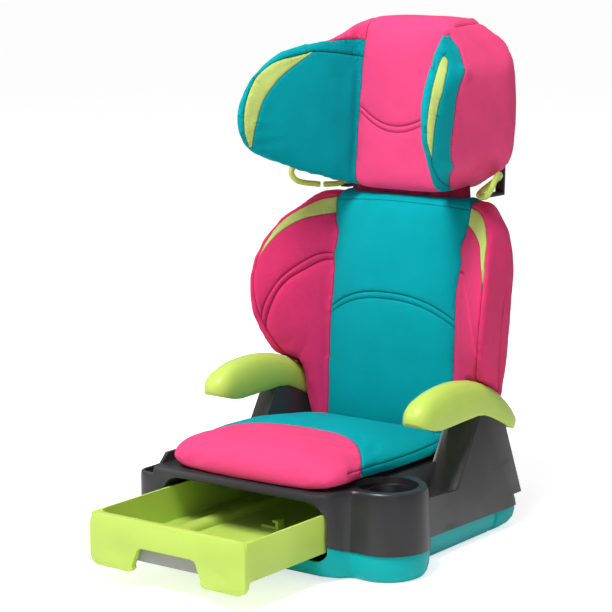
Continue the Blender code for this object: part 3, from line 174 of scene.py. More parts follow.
# The right head wing's crescent, further out on the rim, as (place across the wing, height)
HEAD_LIME_LOW = 0.5107
HEAD_RIGHT_TOP = 0.6391
HEAD_RIGHT_OUTER = [(0.1493, HEAD_LIME_LOW), (0.1534, 0.5293), (0.1565, 0.5582), (0.1591, 0.583),
                    (0.1613, 0.6132), (0.1594, 0.6317), (0.1529, HEAD_RIGHT_TOP)]
HEAD_RIGHT_INNER = [(0.1493, HEAD_LIME_LOW), (0.1448, 0.5327), (0.1464, 0.5696), (0.1483, 0.5929),
                    (0.1498, 0.6306), (0.1529, HEAD_RIGHT_TOP)]
# How far a head wing leans out for each metre forwards, and where its rim runs across its thickness
HEAD_LEAN = 0.388
HEAD_RIM_MIDDLE = 0.1467
HEAD_RIM_SEAM = 0.1475
HEAD_RIM_OUTER = 0.152
HEAD_BAND_TOP = 0.651
# The teal of a head wing ends before this depth, where its rear begins
HEAD_TEAL_REAR = 0.19
# The centre panel's two seams in a wide U
U_LOW = 0.5357
U_MIDDLE = -0.004
U_BOW = 6.6
U_SPACING = 0.0082
# The right-hand seam's distance from the middle plane at the crown
HEAD_CROWN_SEAM = 0.0702

WHITE = (1.0, 1.0, 1.0, 1.0)
FLOOR_HALF = 40.0


# ---------- materials
def linear(colour):
    """An sRGB colour of 0 to 255 as the linear one that a shader takes."""
    shares = [c / 255 for c in colour]
    return tuple(s / 12.92 if s <= 0.04045 else ((s + 0.055) / 1.055) ** 2.4 for s in shares) + (1.0,)


def scaled(colour, factor):
    return tuple(min(1.0, c * factor) for c in colour[:3]) + (1.0,)


class Shader:
    """A material's nodes, laid out on the object's own coordinates in metres."""

    def __init__(self, name):
        self.material = bpy.data.materials.new(name)
        self.material.use_nodes = True
        self.tree = self.material.node_tree
        self.surface = self.tree.nodes["Principled BSDF"]
        self.place = self.add("ShaderNodeTexCoord").outputs["Object"]

    def add(self, kind, inputs=None, **settings):
        node = self.tree.nodes.new(kind)
        for key, value in settings.items():
            setattr(node, key, value)
        for key, value in (inputs or {}).items():
            self.feed(node, key, value)
        return node

    def feed(self, node, key, value):
        """Sets an input, or links another node's output to it."""
        if isinstance(value, bpy.types.NodeSocket):
            self.tree.links.new(value, node.inputs[key])
        else:
            node.inputs[key].default_value = value

    def noise(self, scale, detail=2.0, place=None):
        inputs = {"Vector": place or self.place, "Scale": scale, "Detail": detail}
        return self.add("ShaderNodeTexNoise", inputs).outputs["Fac"]

    def math(self, operation, first, second=0.0):
        return self.add("ShaderNodeMath", {0: first, 1: second}, operation=operation).outputs[0]

    def vector(self, operation, *values):
        return self.add("ShaderNodeVectorMath", dict(enumerate(values)), operation=operation).outputs[0]

    def attribute(self, name):
        return self.add("ShaderNodeAttribute", attribute_name=name).outputs["Fac"]

    def ramp(self, value, low, high, start=0.0, end=1.0):
        inputs = {"Value": value, "From Min": low, "From Max": high, "To Min": start, "To Max": end}
        return self.add("ShaderNodeMapRange", inputs).outputs["Result"]

    def mix(self, share, first, second):
        node = self.add("ShaderNodeMix", data_type="RGBA")
        self.feed(node, 0, share)
        self.feed(node, 6, first)
        self.feed(node, 7, second)
        return node.outputs[2]

    def bump(self, height, depth, under=None):
        inputs = {"Height": height, "Distance": depth, "Strength": 1.0}
        if under:
            inputs["Normal"] = under
        return self.add("ShaderNodeBump", inputs).outputs["Normal"]

    def finish(self, **inputs):
        for key, value in inputs.items():
            self.feed(self.surface, key.replace("_", " "), value)
        return self.material


def plastic(name, colour, roughness, grain, edge_highlight, gloss):
    """Moulded plastic: fine spark-eroded grain, slightly cloudy colour, painted highlights on its sharper
    edges and faint scuffs.
    """
    shader = Shader(name)
    base = linear(colour)
    cloud = shader.ramp(shader.noise(14.0), 0.3, 0.7)
    body = shader.mix(cloud, scaled(base, 0.95), scaled(base, 1.05))
    fleck = shader.ramp(shader.noise(2600.0, 1.0), 0.45, 0.75, 0.0, 0.18)
    body = shader.mix(fleck, body, scaled(base, 0.86))
    # Painted highlight: convex edges, found by pointiness, are painted in a paler colour
    edge = shader.ramp(shader.add("ShaderNodeNewGeometry").outputs["Pointiness"], 0.51, 0.6, 0.0, edge_highlight)
    body = shader.mix(edge, body, scaled([c + 0.08 for c in base], 1.25))
    stretched = shader.add("ShaderNodeMapping", {"Vector": shader.place, "Scale": (260.0, 18.0, 90.0)})
    scuff = shader.ramp(shader.noise(1.0, 3.0, stretched.outputs[0]), 0.62, 0.72, 0.0, 0.1)
    smear = shader.ramp(shader.noise(30.0, 3.0), 0.3, 0.7, roughness - 0.04, roughness + 0.06)
    fine = shader.noise(1500.0, 3.0)
    return shader.finish(
        Base_Color=body,
        Roughness=shader.math("ADD", smear, scuff),
        Normal=shader.bump(fine, grain),
        Specular_IOR_Level=gloss,
    )


def metal(name, colour):
    """Zinc-plated steel with fine turning marks."""
    shader = Shader(name)
    base = linear(colour)
    marks = shader.add("ShaderNodeMapping", {"Vector": shader.place, "Scale": (300.0, 300.0, 2500.0)})
    turned = shader.noise(1.0, 3.0, marks.outputs[0])
    body = shader.mix(shader.ramp(shader.noise(120.0), 0.3, 0.7), scaled(base, 0.85), scaled(base, 1.1))
    return shader.finish(
        Base_Color=body,
        Metallic=1.0,
        Roughness=shader.ramp(turned, 0.3, 0.7, 0.25, 0.42),
        Normal=shader.bump(turned, 0.00004),
    )


def knit(name, colour, roughness=0.72, sheen=0.12, loop=0.0011, gloss=0.18):
    """Fine knitted cover cloth: rows of small loops, heathered yarn, gathers beside the seams, painted shade
    darkening the seams and a soft sheen."""
    shader = Shader(name)
    base = linear(colour)
    turns = 2 * math.pi / loop
    wander = shader.add("ShaderNodeTexNoise", {"Vector": shader.place, "Scale": 420.0, "Detail": 1.0})
    drift = shader.vector("MULTIPLY", wander.outputs["Color"], (0.0016,) * 3)
    yarn = shader.vector("ADD", shader.place, drift)
    waves = shader.vector("SINE", shader.vector("MULTIPLY", yarn, (turns,) * 3))
    split = shader.add("ShaderNodeSeparateXYZ", {0: waves})
    x, y, z = (split.outputs[i] for i in range(3))
    pairs = [shader.math("MULTIPLY", a, b) for a, b in ((x, z), (y, z), (x, y))]
    loops = shader.math("ADD", shader.math("ADD", pairs[0], pairs[1]), pairs[2])
    fuzz = shader.noise(1900.0, 2.0)
    row = shader.add("ShaderNodeCombineXYZ", {0: shader.attribute("seam_along")})
    pleats = shader.math("MULTIPLY", shader.noise(260.0, 2.0, row.outputs[0]), shader.attribute("seam_near"))
    cloud = shader.ramp(shader.noise(22.0, 3.0), 0.3, 0.7)
    body = shader.mix(cloud, scaled(base, 0.95), scaled(base, 1.05))
    body = shader.mix(shader.ramp(loops, -1.0, 1.0, 0.08, 0.0), body, scaled(base, 0.72))
    body = shader.mix(shader.ramp(fuzz, 0.4, 0.8, 0.0, 0.12), body, scaled(base, 1.3))
    # Painted shade: the cloth darkens within about a millimetre of a seam, as in the seam's crease
    gap = shader.ramp(shader.attribute("seam_gap"), 0.0002, 0.0012, 0.8, 0.0)
    body = shader.mix(gap, body, scaled(base, 0.28))
    folds = shader.bump(pleats, 0.0035)
    cloth = shader.bump(shader.math("ADD", loops, fuzz), 0.0001, folds)
    return shader.finish(
        Base_Color=body,
        Roughness=shader.ramp(fuzz, 0.3, 0.7, roughness - 0.06, roughness + 0.06),
        Normal=cloth,
        Specular_IOR_Level=gloss,
        Sheen_Weight=sheen,
        Sheen_Roughness=0.45,
        Sheen_Tint=scaled([c + 0.15 for c in base], 1.2),
    )


def thread(name, colour):
    """Twisted sewing thread."""
    shader = Shader(name)
    base = linear(colour)
    twist = shader.noise(5200.0, 1.0)
    body = shader.mix(twist, scaled(base, 0.8), scaled(base, 1.15))
    grain = shader.bump(twist, 0.00008)
    return shader.finish(Base_Color=body, Roughness=0.5, Normal=grain, Sheen_Weight=0.2)


# Each plastic's colour, roughness, grain, painted edge highlight and gloss
PLASTICS = {
    "dark_plastic": ((38, 37, 40), 0.33, 0.00004, 0.1, 0.4),
    "teal_plastic": ((0, 172, 174), 0.34, 0.00004, 0.04, 0.15),
    "lime_plastic": ((190, 218, 94), 0.32, 0.00003, 0.08, 0.3),
    "grey_plastic": ((150, 150, 146), 0.45, 0.00005, 0.1, 0.35),
    "black_plastic": ((38, 34, 34), 0.44, 0.00006, 0.12, 0.35),
}
finishes = {name: plastic(name + "_look", *look) for name, look in PLASTICS.items()}
finishes["steel"] = metal("steel_look", (176, 178, 182))
pink_cloth = knit("pink_knit", (228, 52, 112))
pink_bright = knit("pink_knit_bright", (244, 72, 130))
teal_cloth = knit("teal_knit", (0, 162, 172), sheen=0.02, gloss=0.06)
# A darker copy of the pink knit for the skirt: painted shade for where it hangs under the headrest
pink_painted_shade = knit("pink_knit_painted_shade", (190, 34, 86))
lime_cloth = knit("lime_knit", (196, 214, 116), roughness=0.78, sheen=0.15, loop=0.0014)
# A seam names its thread by its place here
threads = (thread("pink_thread", (205, 40, 100)), thread("teal_thread", (0, 134, 146)))
PINK_THREAD, TEAL_THREAD = 0, 1


# ---------- hard parts
def smoothing_group():
    """Geometry nodes that shade faces smooth and keep the sharper edges sharp."""
    tree = bpy.data.node_groups.new("smooth_by_angle", "GeometryNodeTree")
    tree.interface.new_socket("Geometry", in_out="INPUT", socket_type="NodeSocketGeometry")
    tree.interface.new_socket("Geometry", in_out="OUTPUT", socket_type="NodeSocketGeometry")
    start = tree.nodes.new("NodeGroupInput")
    end = tree.nodes.new("NodeGroupOutput")
    faces = tree.nodes.new("GeometryNodeSetShadeSmooth")
    edges = tree.nodes.new("GeometryNodeSetShadeSmooth")
    edges.domain = "EDGE"
    angle = tree.nodes.new("GeometryNodeInputMeshEdgeAngle")
    gentle = tree.nodes.new("FunctionNodeCompare")
    gentle.data_type = "FLOAT"
    gentle.operation = "LESS_EQUAL"
    gentle.inputs["B"].default_value = SHARP_ANGLE
    tree.links.new(start.outputs[0], faces.inputs["Geometry"])
    tree.links.new(faces.outputs[0], edges.inputs["Geometry"])
    tree.links.new(angle.outputs["Unsigned Angle"], gentle.inputs["A"])
    tree.links.new(gentle.outputs[0], edges.inputs["Shade Smooth"])
    tree.links.new(edges.outputs[0], end.inputs[0])
    return tree


smooth_tree = smoothing_group()


def moulded(obj, radius):
    """Rounds a carried-over part's corners and shades it as one moulded surface, by modifiers only."""
    if "custom_normal" in obj.data.attributes:
        obj.data.attributes.remove(obj.data.attributes["custom_normal"])
    weld = obj.modifiers.new("weld", "WELD")
    weld.merge_threshold = WELD
    bevel = obj.modifiers.new("edges", "BEVEL")
    bevel.width = radius
    bevel.segments = 2
    bevel.limit_method = "ANGLE"
    bevel.angle_limit = SHARP_ANGLE
    bevel.use_clamp_overlap = True
    smooth = obj.modifiers.new("smooth", "NODES")
    smooth.node_group = smooth_tree


for node_name, node in nodes.items():
    if node_name in SEAT_PADS + BACK_PADS + HEAD_PADS:
        continue
    slot_name = node.data.materials[0].name.split(".")[0]
    node.data.materials.clear()
    node.data.materials.append(finishes[slot_name])
    moulded(node, STEEL_EDGE_RADIUS if slot_name == "steel" else EDGE_RADIUS)


# ---------- soft parts: forms
def link(name, mesh):
    obj = bpy.data.objects.new(name, mesh)
    bpy.context.scene.collection.objects.link(obj)
    return obj


def baked(obj):
    """The object's mesh with its modifiers in it, and no modifiers left."""
    graph = bpy.context.evaluated_depsgraph_get()
    mesh = bpy.data.meshes.new_from_object(obj.evaluated_get(graph))
    obj.modifiers.clear()
    obj.data = mesh
    return obj


def points(mesh, key="co"):
    flat = np.empty(len(mesh.vertices) * 3)
    mesh.vertices.foreach_get(key, flat)
    return flat.reshape(-1, 3)


def normals(mesh):
    return points(mesh, "normal")


def place_points(mesh, co):
    mesh.vertices.foreach_set("co", np.asarray(co, float).ravel())
    mesh.update()


def neighbours(mesh):
    """Each edge twice, once from either end: the vertices it leaves from, and those it goes to."""
    edges = np.array([e.vertices[:] for e in mesh.edges])
    return np.concatenate([edges[:, 0], edges[:, 1]]), np.concatenate([edges[:, 1], edges[:, 0]])


def neighbour_mean(mesh):
    """A function that gives each vertex the mean of its neighbours' values."""
    ends, others = neighbours(mesh)
    count = len(mesh.vertices)
    valence = np.bincount(ends, minlength=count)[:, None]

    def mean(values):
        columns = range(values.shape[1])
        return np.stack([np.bincount(ends, values[others, i], count) for i in columns], 1) / valence
    return mean


def relaxed(mesh, rounds):
    """Evens out a mesh's voxel steps without shrinking it: each round smooths, and then pushes back."""
    mean = neighbour_mean(mesh)
    co = points(mesh)
    for step in (0.5, -0.53) * rounds:
        co = co + step * (mean(co) - co)
    place_points(mesh, co)


def rounded(mesh, corners, rounds=30):
    """Wears down a form's corners where a function of place says so."""
    mean = neighbour_mean(mesh)
    co = points(mesh)
    share = 0.5 * corners(co)[:, None]
    for _ in range(rounds):
        co = co + share * (mean(co) - co)
    place_points(mesh, co)


def even_normals(mesh, rounds=6):
    """Vertex normals averaged over their surroundings, so that a groove sinks evenly."""
    mean = neighbour_mean(mesh)
    out = normals(mesh)
    for _ in range(rounds):
        out = 0.5 * out + 0.5 * mean(out)
        out /= np.maximum(np.linalg.norm(out, axis=1, keepdims=True), 1e-9)
    return out


def biggest_island(shape):
    """Removes every loose part of a mesh but the largest."""
    left, islands = set(shape.verts), []
    while left:
        island, edge = set(), [left.pop()]
        while edge:
            vert = edge.pop()
            island.add(vert)
            for other in (e.other_vert(vert) for e in vert.link_edges):
                if other in left:
                    left.discard(other)
                    edge.append(other)
        islands.append(island)
    for island in sorted(islands, key=len)[:-1]:
        bmesh.ops.delete(shape, geom=list(island), context="VERTS")


def joined(name, pads, reshape, shell=None, corners=None):
    """One closed form from packed pads and the shell in them, remeshed evenly, relaxed and eased into
    shape. Returns it, and which of its points lie on the shell's bare rear, where they stay just inside."""
    shape = bmesh.new()
    for source in pads + ([shell] if shell else []):
        shape.from_mesh(nodes[source].data)
    bmesh.ops.remove_doubles(shape, verts=shape.verts, dist=WELD)
    mesh = bpy.data.meshes.new(name)
    shape.to_mesh(mesh)
    shape.free()
    obj = link(name, mesh)
    remesh = obj.modifiers.new("voxels", "REMESH")
    remesh.mode = "VOXEL"
    remesh.voxel_size = VOXEL
    baked(obj)
    shape = bmesh.new()
    shape.from_mesh(obj.data)
    biggest_island(shape)
    shape.to_mesh(obj.data)
    shape.free()
    relaxed(obj.data, 30)
    if corners:
        rounded(obj.data, corners)
    shaped = reshape(points(obj.data))
    found = np.zeros(len(shaped), bool)
    if shell:
        found, places = bare(obj, mesh_tree(nodes[shell].data), pads)
        shaped[found] = places[found]
    place_points(obj.data, shaped)
    return obj, found


def mesh_tree(mesh):
    return BVHTree.FromPolygons([v.co[:] for v in mesh.vertices], [p.vertices[:] for p in mesh.polygons])


def bare(obj, shell, pads, reach=0.0035):
    """Which of a cover's points lie on its shell's rear face, and where they go to be just inside it."""
    co, normal = points(obj.data), normals(obj.data)
    stuffing = [mesh_tree(nodes[pad].data) for pad in pads]
    found, places = np.zeros(len(co), bool), co.copy()
    for index, (place, out) in enumerate(zip(co, normal)):
        place = Vector(place)
        nearest, shell_out, _, distance = shell.find_nearest(place, reach)
        if nearest is None or out[1] < 0.5 or shell_out.dot(Vector(out)) < 0.5:
            continue
        if all(tree.find_nearest(place, distance)[0] is None for tree in stuffing):
            found[index] = True
            places[index] = nearest - shell_out * SHELL_TUCK
    return found, places


def cleared(obj, shell, kept, gap=0.0016, reach=5):
    """Lifts a cover off the hidden part of its shell, in one smooth swell and not point by point."""
    co, out = points(obj.data), even_normals(obj.data)
    lift = np.zeros((len(co), 1))
    for index in np.nonzero(~kept)[0]:
        place = Vector(co[index])
        nearest, shell_out, _, distance = shell.find_nearest(place, 0.005)
        if nearest is None:
            continue
        height = (place - nearest).dot(shell_out)
        facing = shell_out.dot(Vector(out[index]))
        straight_out = distance < abs(height) * 1.3 + 0.0003
        if facing > 0.3 and height < gap and straight_out:
            lift[index] = (gap - height) / facing
    ends, others = neighbours(obj.data)
    for _ in range(reach):
        wider = lift.copy()
        np.maximum.at(wider, ends, lift[others])
        lift = wider
    mean = neighbour_mean(obj.data)
    for _ in range(2 * reach):
        lift[kept] = 0.0
        lift = mean(lift)
    lift[kept] = 0.0
    place_points(obj.data, co + out * lift)


def tucked(obj, shell, reach, top):
    """Draws a cover's rear face in, so that the middle of its shell is bare."""
    co = points(obj.data)
    behind = (np.abs(co[:, 0]) < reach) & (co[:, 2] < top)
    for index in np.nonzero(behind)[0]:
        x, y, z = co[index]
        rear = shell.ray_cast(Vector((x, 1.0, z)), Vector((0.0, -1.0, 0.0)))[0]
        if rear is not None and rear.y - SHELL_TUCK < y < rear.y + 0.02:
            co[index, 1] = rear.y - SHELL_TUCK
    place_points(obj.data, co)


def spline(line, per_span=5):
    """A smooth line through given points."""
    p = np.array(line, float)
    ends = np.vstack([2 * p[0] - p[1], p, 2 * p[-1] - p[-2]])
    found = []
    for i in range(1, len(ends) - 2):
        a, b, c, d = ends[i - 1 : i + 3]
        for t in np.arange(per_span) / per_span:
            bend, twist = 2 * a - 5 * b + 4 * c - d, 3 * b - a - 3 * c + d
            found.append(0.5 * (2 * b + (c - a) * t + bend * t**2 + twist * t**3))
    return np.array(found + [p[-1]])


def beside(u, v, line):
    """Signed distance in a plane from a smooth line, positive on its right-hand side."""
    p = spline(line)
    start, step = p[:-1], p[1:] - p[:-1]
    best = np.full(len(u), FAR)
    side = np.ones(len(u))
    for (au, av), (du, dv) in zip(start, step):
        ru, rv = u - au, v - av
        t = np.clip((ru * du + rv * dv) / (du * du + dv * dv), 0, 1)
        distance = np.hypot(ru - t * du, rv - t * dv)
        closer = distance < best
        best = np.where(closer, distance, best)
        side = np.where(closer, np.sign(ru * dv - rv * du + 1e-12), side)
    return best * side


def on_surface(field, co, normal, step=0.0004):
    """A field as a distance along the surface: its value over its slope in the surface."""
    value = field(co)
    near = np.abs(value) < 0.03
    slope = np.ones(len(co))
    if near.any():
        here, out = co[near], normal[near]
        gradient = np.stack([(field(here + step * axis) - value[near]) / step for axis in np.eye(3)], 1)
        gradient -= (gradient * out).sum(1, keepdims=True) * out
        slope[near] = np.clip(np.linalg.norm(gradient, axis=1), 0.35, 3.0)
    return value / slope


class Seam:
    """A sewn line: where a field is zero, as far as its mask allows. Depth and width are the groove's,
    pleats the strength of its gathers, and stitches the distances of its stitch rows from it. A seam
    that holds keeps still while the cover fills."""

    def __init__(self, name, field, where, depth, width, pleats, stitches=(), holds=True, thread=PINK_THREAD):
        self.name, self.field, self.where = name, field, where
        self.depth, self.width, self.pleats = depth, width, pleats
        self.stitches, self.holds, self.thread = stitches, holds, thread


def seam_values(seam, co, normal):
    """Distance from a seam at each point, and FAR where the seam doesn't run."""
    allowed = seam.where(co, normal)
    return np.where(allowed, on_surface(seam.field, co, normal), FAR)


def puff(covers):
    """Fills the covers with pressure while their seams hold, all in one run of the cloth solver."""
    starts = {}
    for obj, seams, kept in covers:
        co, normal = points(obj.data), normals(obj.data)
        starts[obj.name] = co
        held = kept.copy()
        for seam in seams:
            if seam.holds:
                held |= np.abs(seam_values(seam, co, normal)) < HOLD_WIDTH
        group = obj.vertex_groups.new(name="held")
        group.add([int(i) for i in np.nonzero(held)[0]], 1.0, "REPLACE")
        cloth = obj.modifiers.new("cloth", "CLOTH")
        for key, value in CLOTH.items():
            setattr(cloth.settings, key, value)
        cloth.settings.vertex_group_mass = "held"
        cloth.settings.effector_weights.gravity = 0.0
        cloth.point_cache.frame_start = 1
        cloth.point_cache.frame_end = PUFF_FRAMES
    for step in range(1, PUFF_FRAMES + 1):
        bpy.context.scene.frame_set(step)
    for obj, _, _ in covers:
        baked(obj)
        start = starts[obj.name]
        move = points(obj.data) - start
        far = np.linalg.norm(move, axis=1, keepdims=True)
        place_points(obj.data, start + move * np.minimum(1.0, PUFF_CAP / np.maximum(far, 1e-9)))
        obj.vertex_groups.clear()
    bpy.context.scene.frame_set(1)


# ---------- soft parts: seams
def cut_along(shape, layer, offset):
    """Cuts the mesh where a vertex value passes offset, and returns the vertices on the cut."""
    found = []
    for edge in list(shape.edges):
        a, b = edge.verts
        va, vb = a[layer] - offset, b[layer] - offset
        if va * vb >= 0 or abs(va - vb) > SEAM_JUMP:
            continue
        t = va / (va - vb)
        if SNAP <= t <= 1 - SNAP:
            _, vert = bmesh.utils.edge_split(edge, a, t)
        else:
            vert, other, share = (a, b, t) if t < SNAP else (b, a, 1 - t)
            vert.co = vert.co.lerp(other.co, share)
        vert[layer] = offset
        found.append(vert)
    found = list(dict.fromkeys(found))
    bmesh.ops.connect_verts(shape, verts=found)
    return found


def chains(found):
    """The cut's edges as lines of points."""
    members = set(found)
    after = {v: [e.other_vert(v) for e in v.link_edges if e.other_vert(v) in members] for v in found}
    lines, used = [], set()
    for start in sorted(found, key=lambda v: (len(after[v]) != 1, v.index)):
        if start in used:
            continue
        line, here = [start], start
        used.add(start)
        while True:
            onward = [v for v in after[here] if v not in used]
            if not onward:
                break
            here = onward[0]
            used.add(here)
            line.append(here)
        if len(line) > 3:
            lines.append(np.array([v.co[:] for v in line]))
    return lines


def resampled(line, pitch):
    """Points at an even pitch along a line."""
    steps = np.linalg.norm(np.diff(line, axis=0), axis=1)
    along = np.concatenate([[0], np.cumsum(steps)])
    count = max(2, int(along[-1] / pitch))
    wanted = np.linspace(0, along[-1], count)
    return np.stack([np.interp(wanted, along, line[:, i]) for i in range(3)], 1)


def sew(obj, seams, panels, cloths, ripple=0.0005):
    """Cuts the seams into a cover, sinks and gathers them, and gives each panel its cloth. Returns the
    stitch lines of each thread."""
    divide = obj.modifiers.new("divide", "SUBSURF")
    divide.levels = divide.render_levels = 1
    mesh = baked(obj).data
    co, normal = points(mesh), even_normals(mesh)
    shape = bmesh.new()
    shape.from_mesh(mesh)
    out_layer = shape.verts.layers.float_vector.new("out")
    for vert, out in zip(shape.verts, normal):
        vert[out_layer] = out
    layers = []
    for seam in seams:
        layer = shape.verts.layers.float.new("seam_" + seam.name)
        for vert, value in zip(shape.verts, seam_values(seam, co, normal)):
            vert[layer] = value
        layers.append(layer)
    stitch_lines, seam_lines = {}, []
    for seam, layer in zip(seams, layers):
        for offset in CUTS + tuple(seam.stitches):
            found = cut_along(shape, layer, offset)
            if offset == 0.0:
                seam_lines += [(line, seam) for line in chains(found)]
            elif offset in seam.stitches:
                stitch_lines.setdefault(seam.thread, []).extend(chains(found))
    crowded = [f for f in shape.faces if len(f.verts) > 4]
    bmesh.ops.triangulate(shape, faces=crowded)
    out_layer = shape.verts.layers.float_vector["out"]
    layers = [shape.verts.layers.float["seam_" + seam.name] for seam in seams]
    values = np.array([[v[layer] for layer in layers] for v in shape.verts])
    co = np.array([v.co[:] for v in shape.verts])
    normal = np.array([v[out_layer].normalized()[:] for v in shape.verts])
    shape.verts.index_update()
    corners = [[v.index for v in f.verts] for f in shape.faces]
    centres = np.array([co[c].mean(0) for c in corners])
    facing = np.array([normal[c].mean(0) for c in corners])
    for face, cloth in zip(shape.faces, panels(centres, facing)):
        face.material_index = int(cloth)
        face.smooth = True
    tree, along_list, weight_list = seam_tree(seam_lines)
    near_layer = shape.verts.layers.float.new("seam_near")
    along_layer = shape.verts.layers.float.new("seam_along")
    seam_shade_layer = shape.verts.layers.float.new("seam_gap")
    # Each point's distance to the nearest seam, which the cloth's shader turns into painted shade
    seam_shade_distances = np.minimum(np.abs(values).min(axis=1), FAR_FROM_SEAM)
    for vert, gap in zip(shape.verts, seam_shade_distances):
        _, index, distance = tree.find(vert.co)
        vert[near_layer] = weight_list[index] * math.exp(-max(0.0, distance - GATHER_FULL) / GATHER_FADE)
        vert[along_layer] = along_list[index]
        vert[seam_shade_layer] = gap
    sink = np.zeros(len(co))
    for column, seam in enumerate(seams):
        d = np.abs(values[:, column])
        groove = seam.depth * (np.exp(-d / seam.width) + SHOULDER * np.exp(-d / SHOULDER_WIDTH))
        sink = np.maximum(sink, np.where(d < GROOVE_LIMIT, groove, 0.0))
    soft = np.array([noise.noise(Vector(p) * 26.0) + 0.5 * noise.noise(Vector(p) * 61.0) for p in co])
    co = co + normal * (ripple * soft - sink)[:, None]
    for vert, place in zip(shape.verts, co):
        vert.co = place
    for seam in seams:
        shape.verts.layers.float.remove(shape.verts.layers.float["seam_" + seam.name])
    finished = bpy.data.meshes.new(obj.name)
    shape.to_mesh(finished)
    shape.free()
    obj.data = finished
    for cloth in cloths:
        finished.materials.append(cloth)
    return stitch_lines


def seam_tree(lines):
    """A search tree of points along every seam, and each one's place along it and strength of gathers."""
    spots, along_list, weight_list = [], [], []
    for line, seam in lines:
        fine = resampled(line, SEAM_STEP)
        spots += list(fine)
        along_list += [SEAM_STEP * i for i in range(len(fine))]
        weight_list += [seam.pleats] * len(fine)
    tree = KDTree(len(spots))
    for index, spot in enumerate(spots):
        tree.insert(spot, index)
    tree.balance()
    return tree, along_list, weight_list


def stitching(name, cover, lines, material):
    """Rows of small raised stitches that lie on a cover along the given lines."""
    tree = mesh_tree(cover.data)
    shape = bmesh.new()
    for line in lines:
        if np.linalg.norm(np.diff(line, axis=0), axis=1).sum() < SHORTEST_ROW:
            continue
        path = resampled(line, STITCH_PITCH)
        for a, b in zip(path[:-1], path[1:]):
            middle, out, _, _ = tree.find_nearest(Vector((a + b) / 2))
            way = Vector(b - a).normalized()
            across = out.cross(way).normalized()
            rows = []
            for share, swell in ((-0.5, 0.3), (-0.3, 0.9), (0.3, 0.9), (0.5, 0.3)):
                centre = middle + way * (share * STITCH_LENGTH) + out * (STITCH_RADIUS * (swell - 0.2))
                radius = STITCH_RADIUS * swell
                row = []
                for turn in range(STITCH_SIDES):
                    angle = 2 * math.pi * turn / STITCH_SIDES
                    spoke = across * math.cos(angle) + out * math.sin(angle)
                    row.append(shape.verts.new(centre + radius * spoke))
                rows.append(row)
            for first, second in zip(rows[:-1], rows[1:]):
                for turn in range(STITCH_SIDES):
                    after = (turn + 1) % STITCH_SIDES
                    shape.faces.new((first[turn], first[after], second[after], second[turn]))
            shape.faces.new(rows[0][::-1])
            shape.faces.new(rows[-1])
    bmesh.ops.recalc_face_normals(shape, faces=shape.faces)
    for face in shape.faces:
        face.smooth = True
    mesh = bpy.data.meshes.new(name)
    shape.to_mesh(mesh)
    shape.free()
    mesh.materials.append(material)
    return link(name, mesh)


# ---------- back cover
def half(co):
    return np.abs(co[:, 0])


def wing_line(line):
    """The field of a line that both wings have, seen from the front."""
    return lambda co: beside(half(co), co[:, 2], line)


back_centre = wing_line(BACK_CENTRE)
back_rim = wing_line(BACK_RIM)
back_lime = wing_line(BACK_LIME)
back_arc_upper = wing_line(BACK_ARC_UPPER)
back_arc_lower = wing_line(BACK_ARC_LOWER)


def arch(drop):
    """The field of an arched seam over the centre panel, a drop below the upper one."""
    return lambda co: co[:, 2] - (ARCH_TOP - drop - ARCH_DROP * (half(co) / ARCH_REACH) ** ARCH_POWER)


def back_top(co):
    return co[:, 2] - (BACK_TOP - BACK_TOP_BOW * co[:, 0] ** 2)


def back_side(co):
    return beside(co[:, 1], co[:, 2], BACK_SIDE_SEAM)


def forward(normal):
    return normal[:, 1] < 0.35


def inner_side(co):
    """The inner face and front rim of a back wing, as against its outer face."""
    return co[:, 1] + BACK_TURN_SLOPE * half(co) < BACK_TURN


def on_wing(co, normal):
    return (back_centre(co) > 0.0) & (back_rim(co) < 0.0015) & forward(normal) & inner_side(co)


def on_back_panel(co, normal):
    return (back_centre(co) < 0.001) & forward(normal)


def on_back_rim(co, normal):
    return (back_centre(co) > -0.002) & inner_side(co) & (normal[:, 1] < 0.8)


def on_back_side(co, normal):
    return ~inner_side(co) & (co[:, 2] < BACK_SIDE_TOP) & (np.abs(normal[:, 0]) > 0.4)


back_seams = [
    Seam("centre", back_centre, lambda co, n: forward(n), depth=0.0024, width=0.0028, pleats=0.3),
    Seam("rim", back_rim, on_back_rim, depth=0.0028, width=0.0018, pleats=0.25),
    Seam("lime", back_lime, lambda co, n: on_wing(co, n) & (co[:, 2] > BACK_LIME_TIP),
         depth=0.001, width=0.0014, pleats=0.5),
    Seam("arc_upper", back_arc_upper, lambda co, n: on_wing(co, n) & (co[:, 0] < 0),
         depth=0.0026, width=0.0022, pleats=0.15),
    Seam("arc_lower", back_arc_lower, on_wing, depth=0.0034, width=0.0026, pleats=0.15),
    Seam("arch_upper", arch(0.0), on_back_panel, depth=0.002, width=0.0018, pleats=0.25,
         stitches=(0.0021,), thread=TEAL_THREAD),
    Seam("arch_lower", arch(ARCH_SPACING), on_back_panel, depth=0.002, width=0.0018, pleats=0.3,
         stitches=(-0.0021,), thread=TEAL_THREAD),
    Seam("top", back_top, on_back_panel, depth=0.001, width=0.0012, pleats=0.3, holds=False),
    Seam("side", back_side, on_back_side, depth=0.0022, width=0.0022, pleats=0.2),
]


def back_panels(co, normal):
    teal = (back_centre(co) < 0) & forward(normal)
    lime = (back_centre(co) >= 0) & (back_rim(co) < 0) & (back_lime(co) > 0) & (co[:, 2] > BACK_LIME_TIP)
    return np.where(teal, 1, np.where(lime & inner_side(co), 2, 0))


# ---------- head cover
def head_centre(co):
    left = beside(half(co), co[:, 2], HEAD_CENTRE_LEFT)
    right = beside(half(co), co[:, 2], HEAD_CENTRE_RIGHT)
    return np.where(co[:, 0] < 0, left, right)


def across(co):
    """Place across a head wing's thickness, from its inner face to its outer one."""
    return half(co) + HEAD_LEAN * co[:, 1]


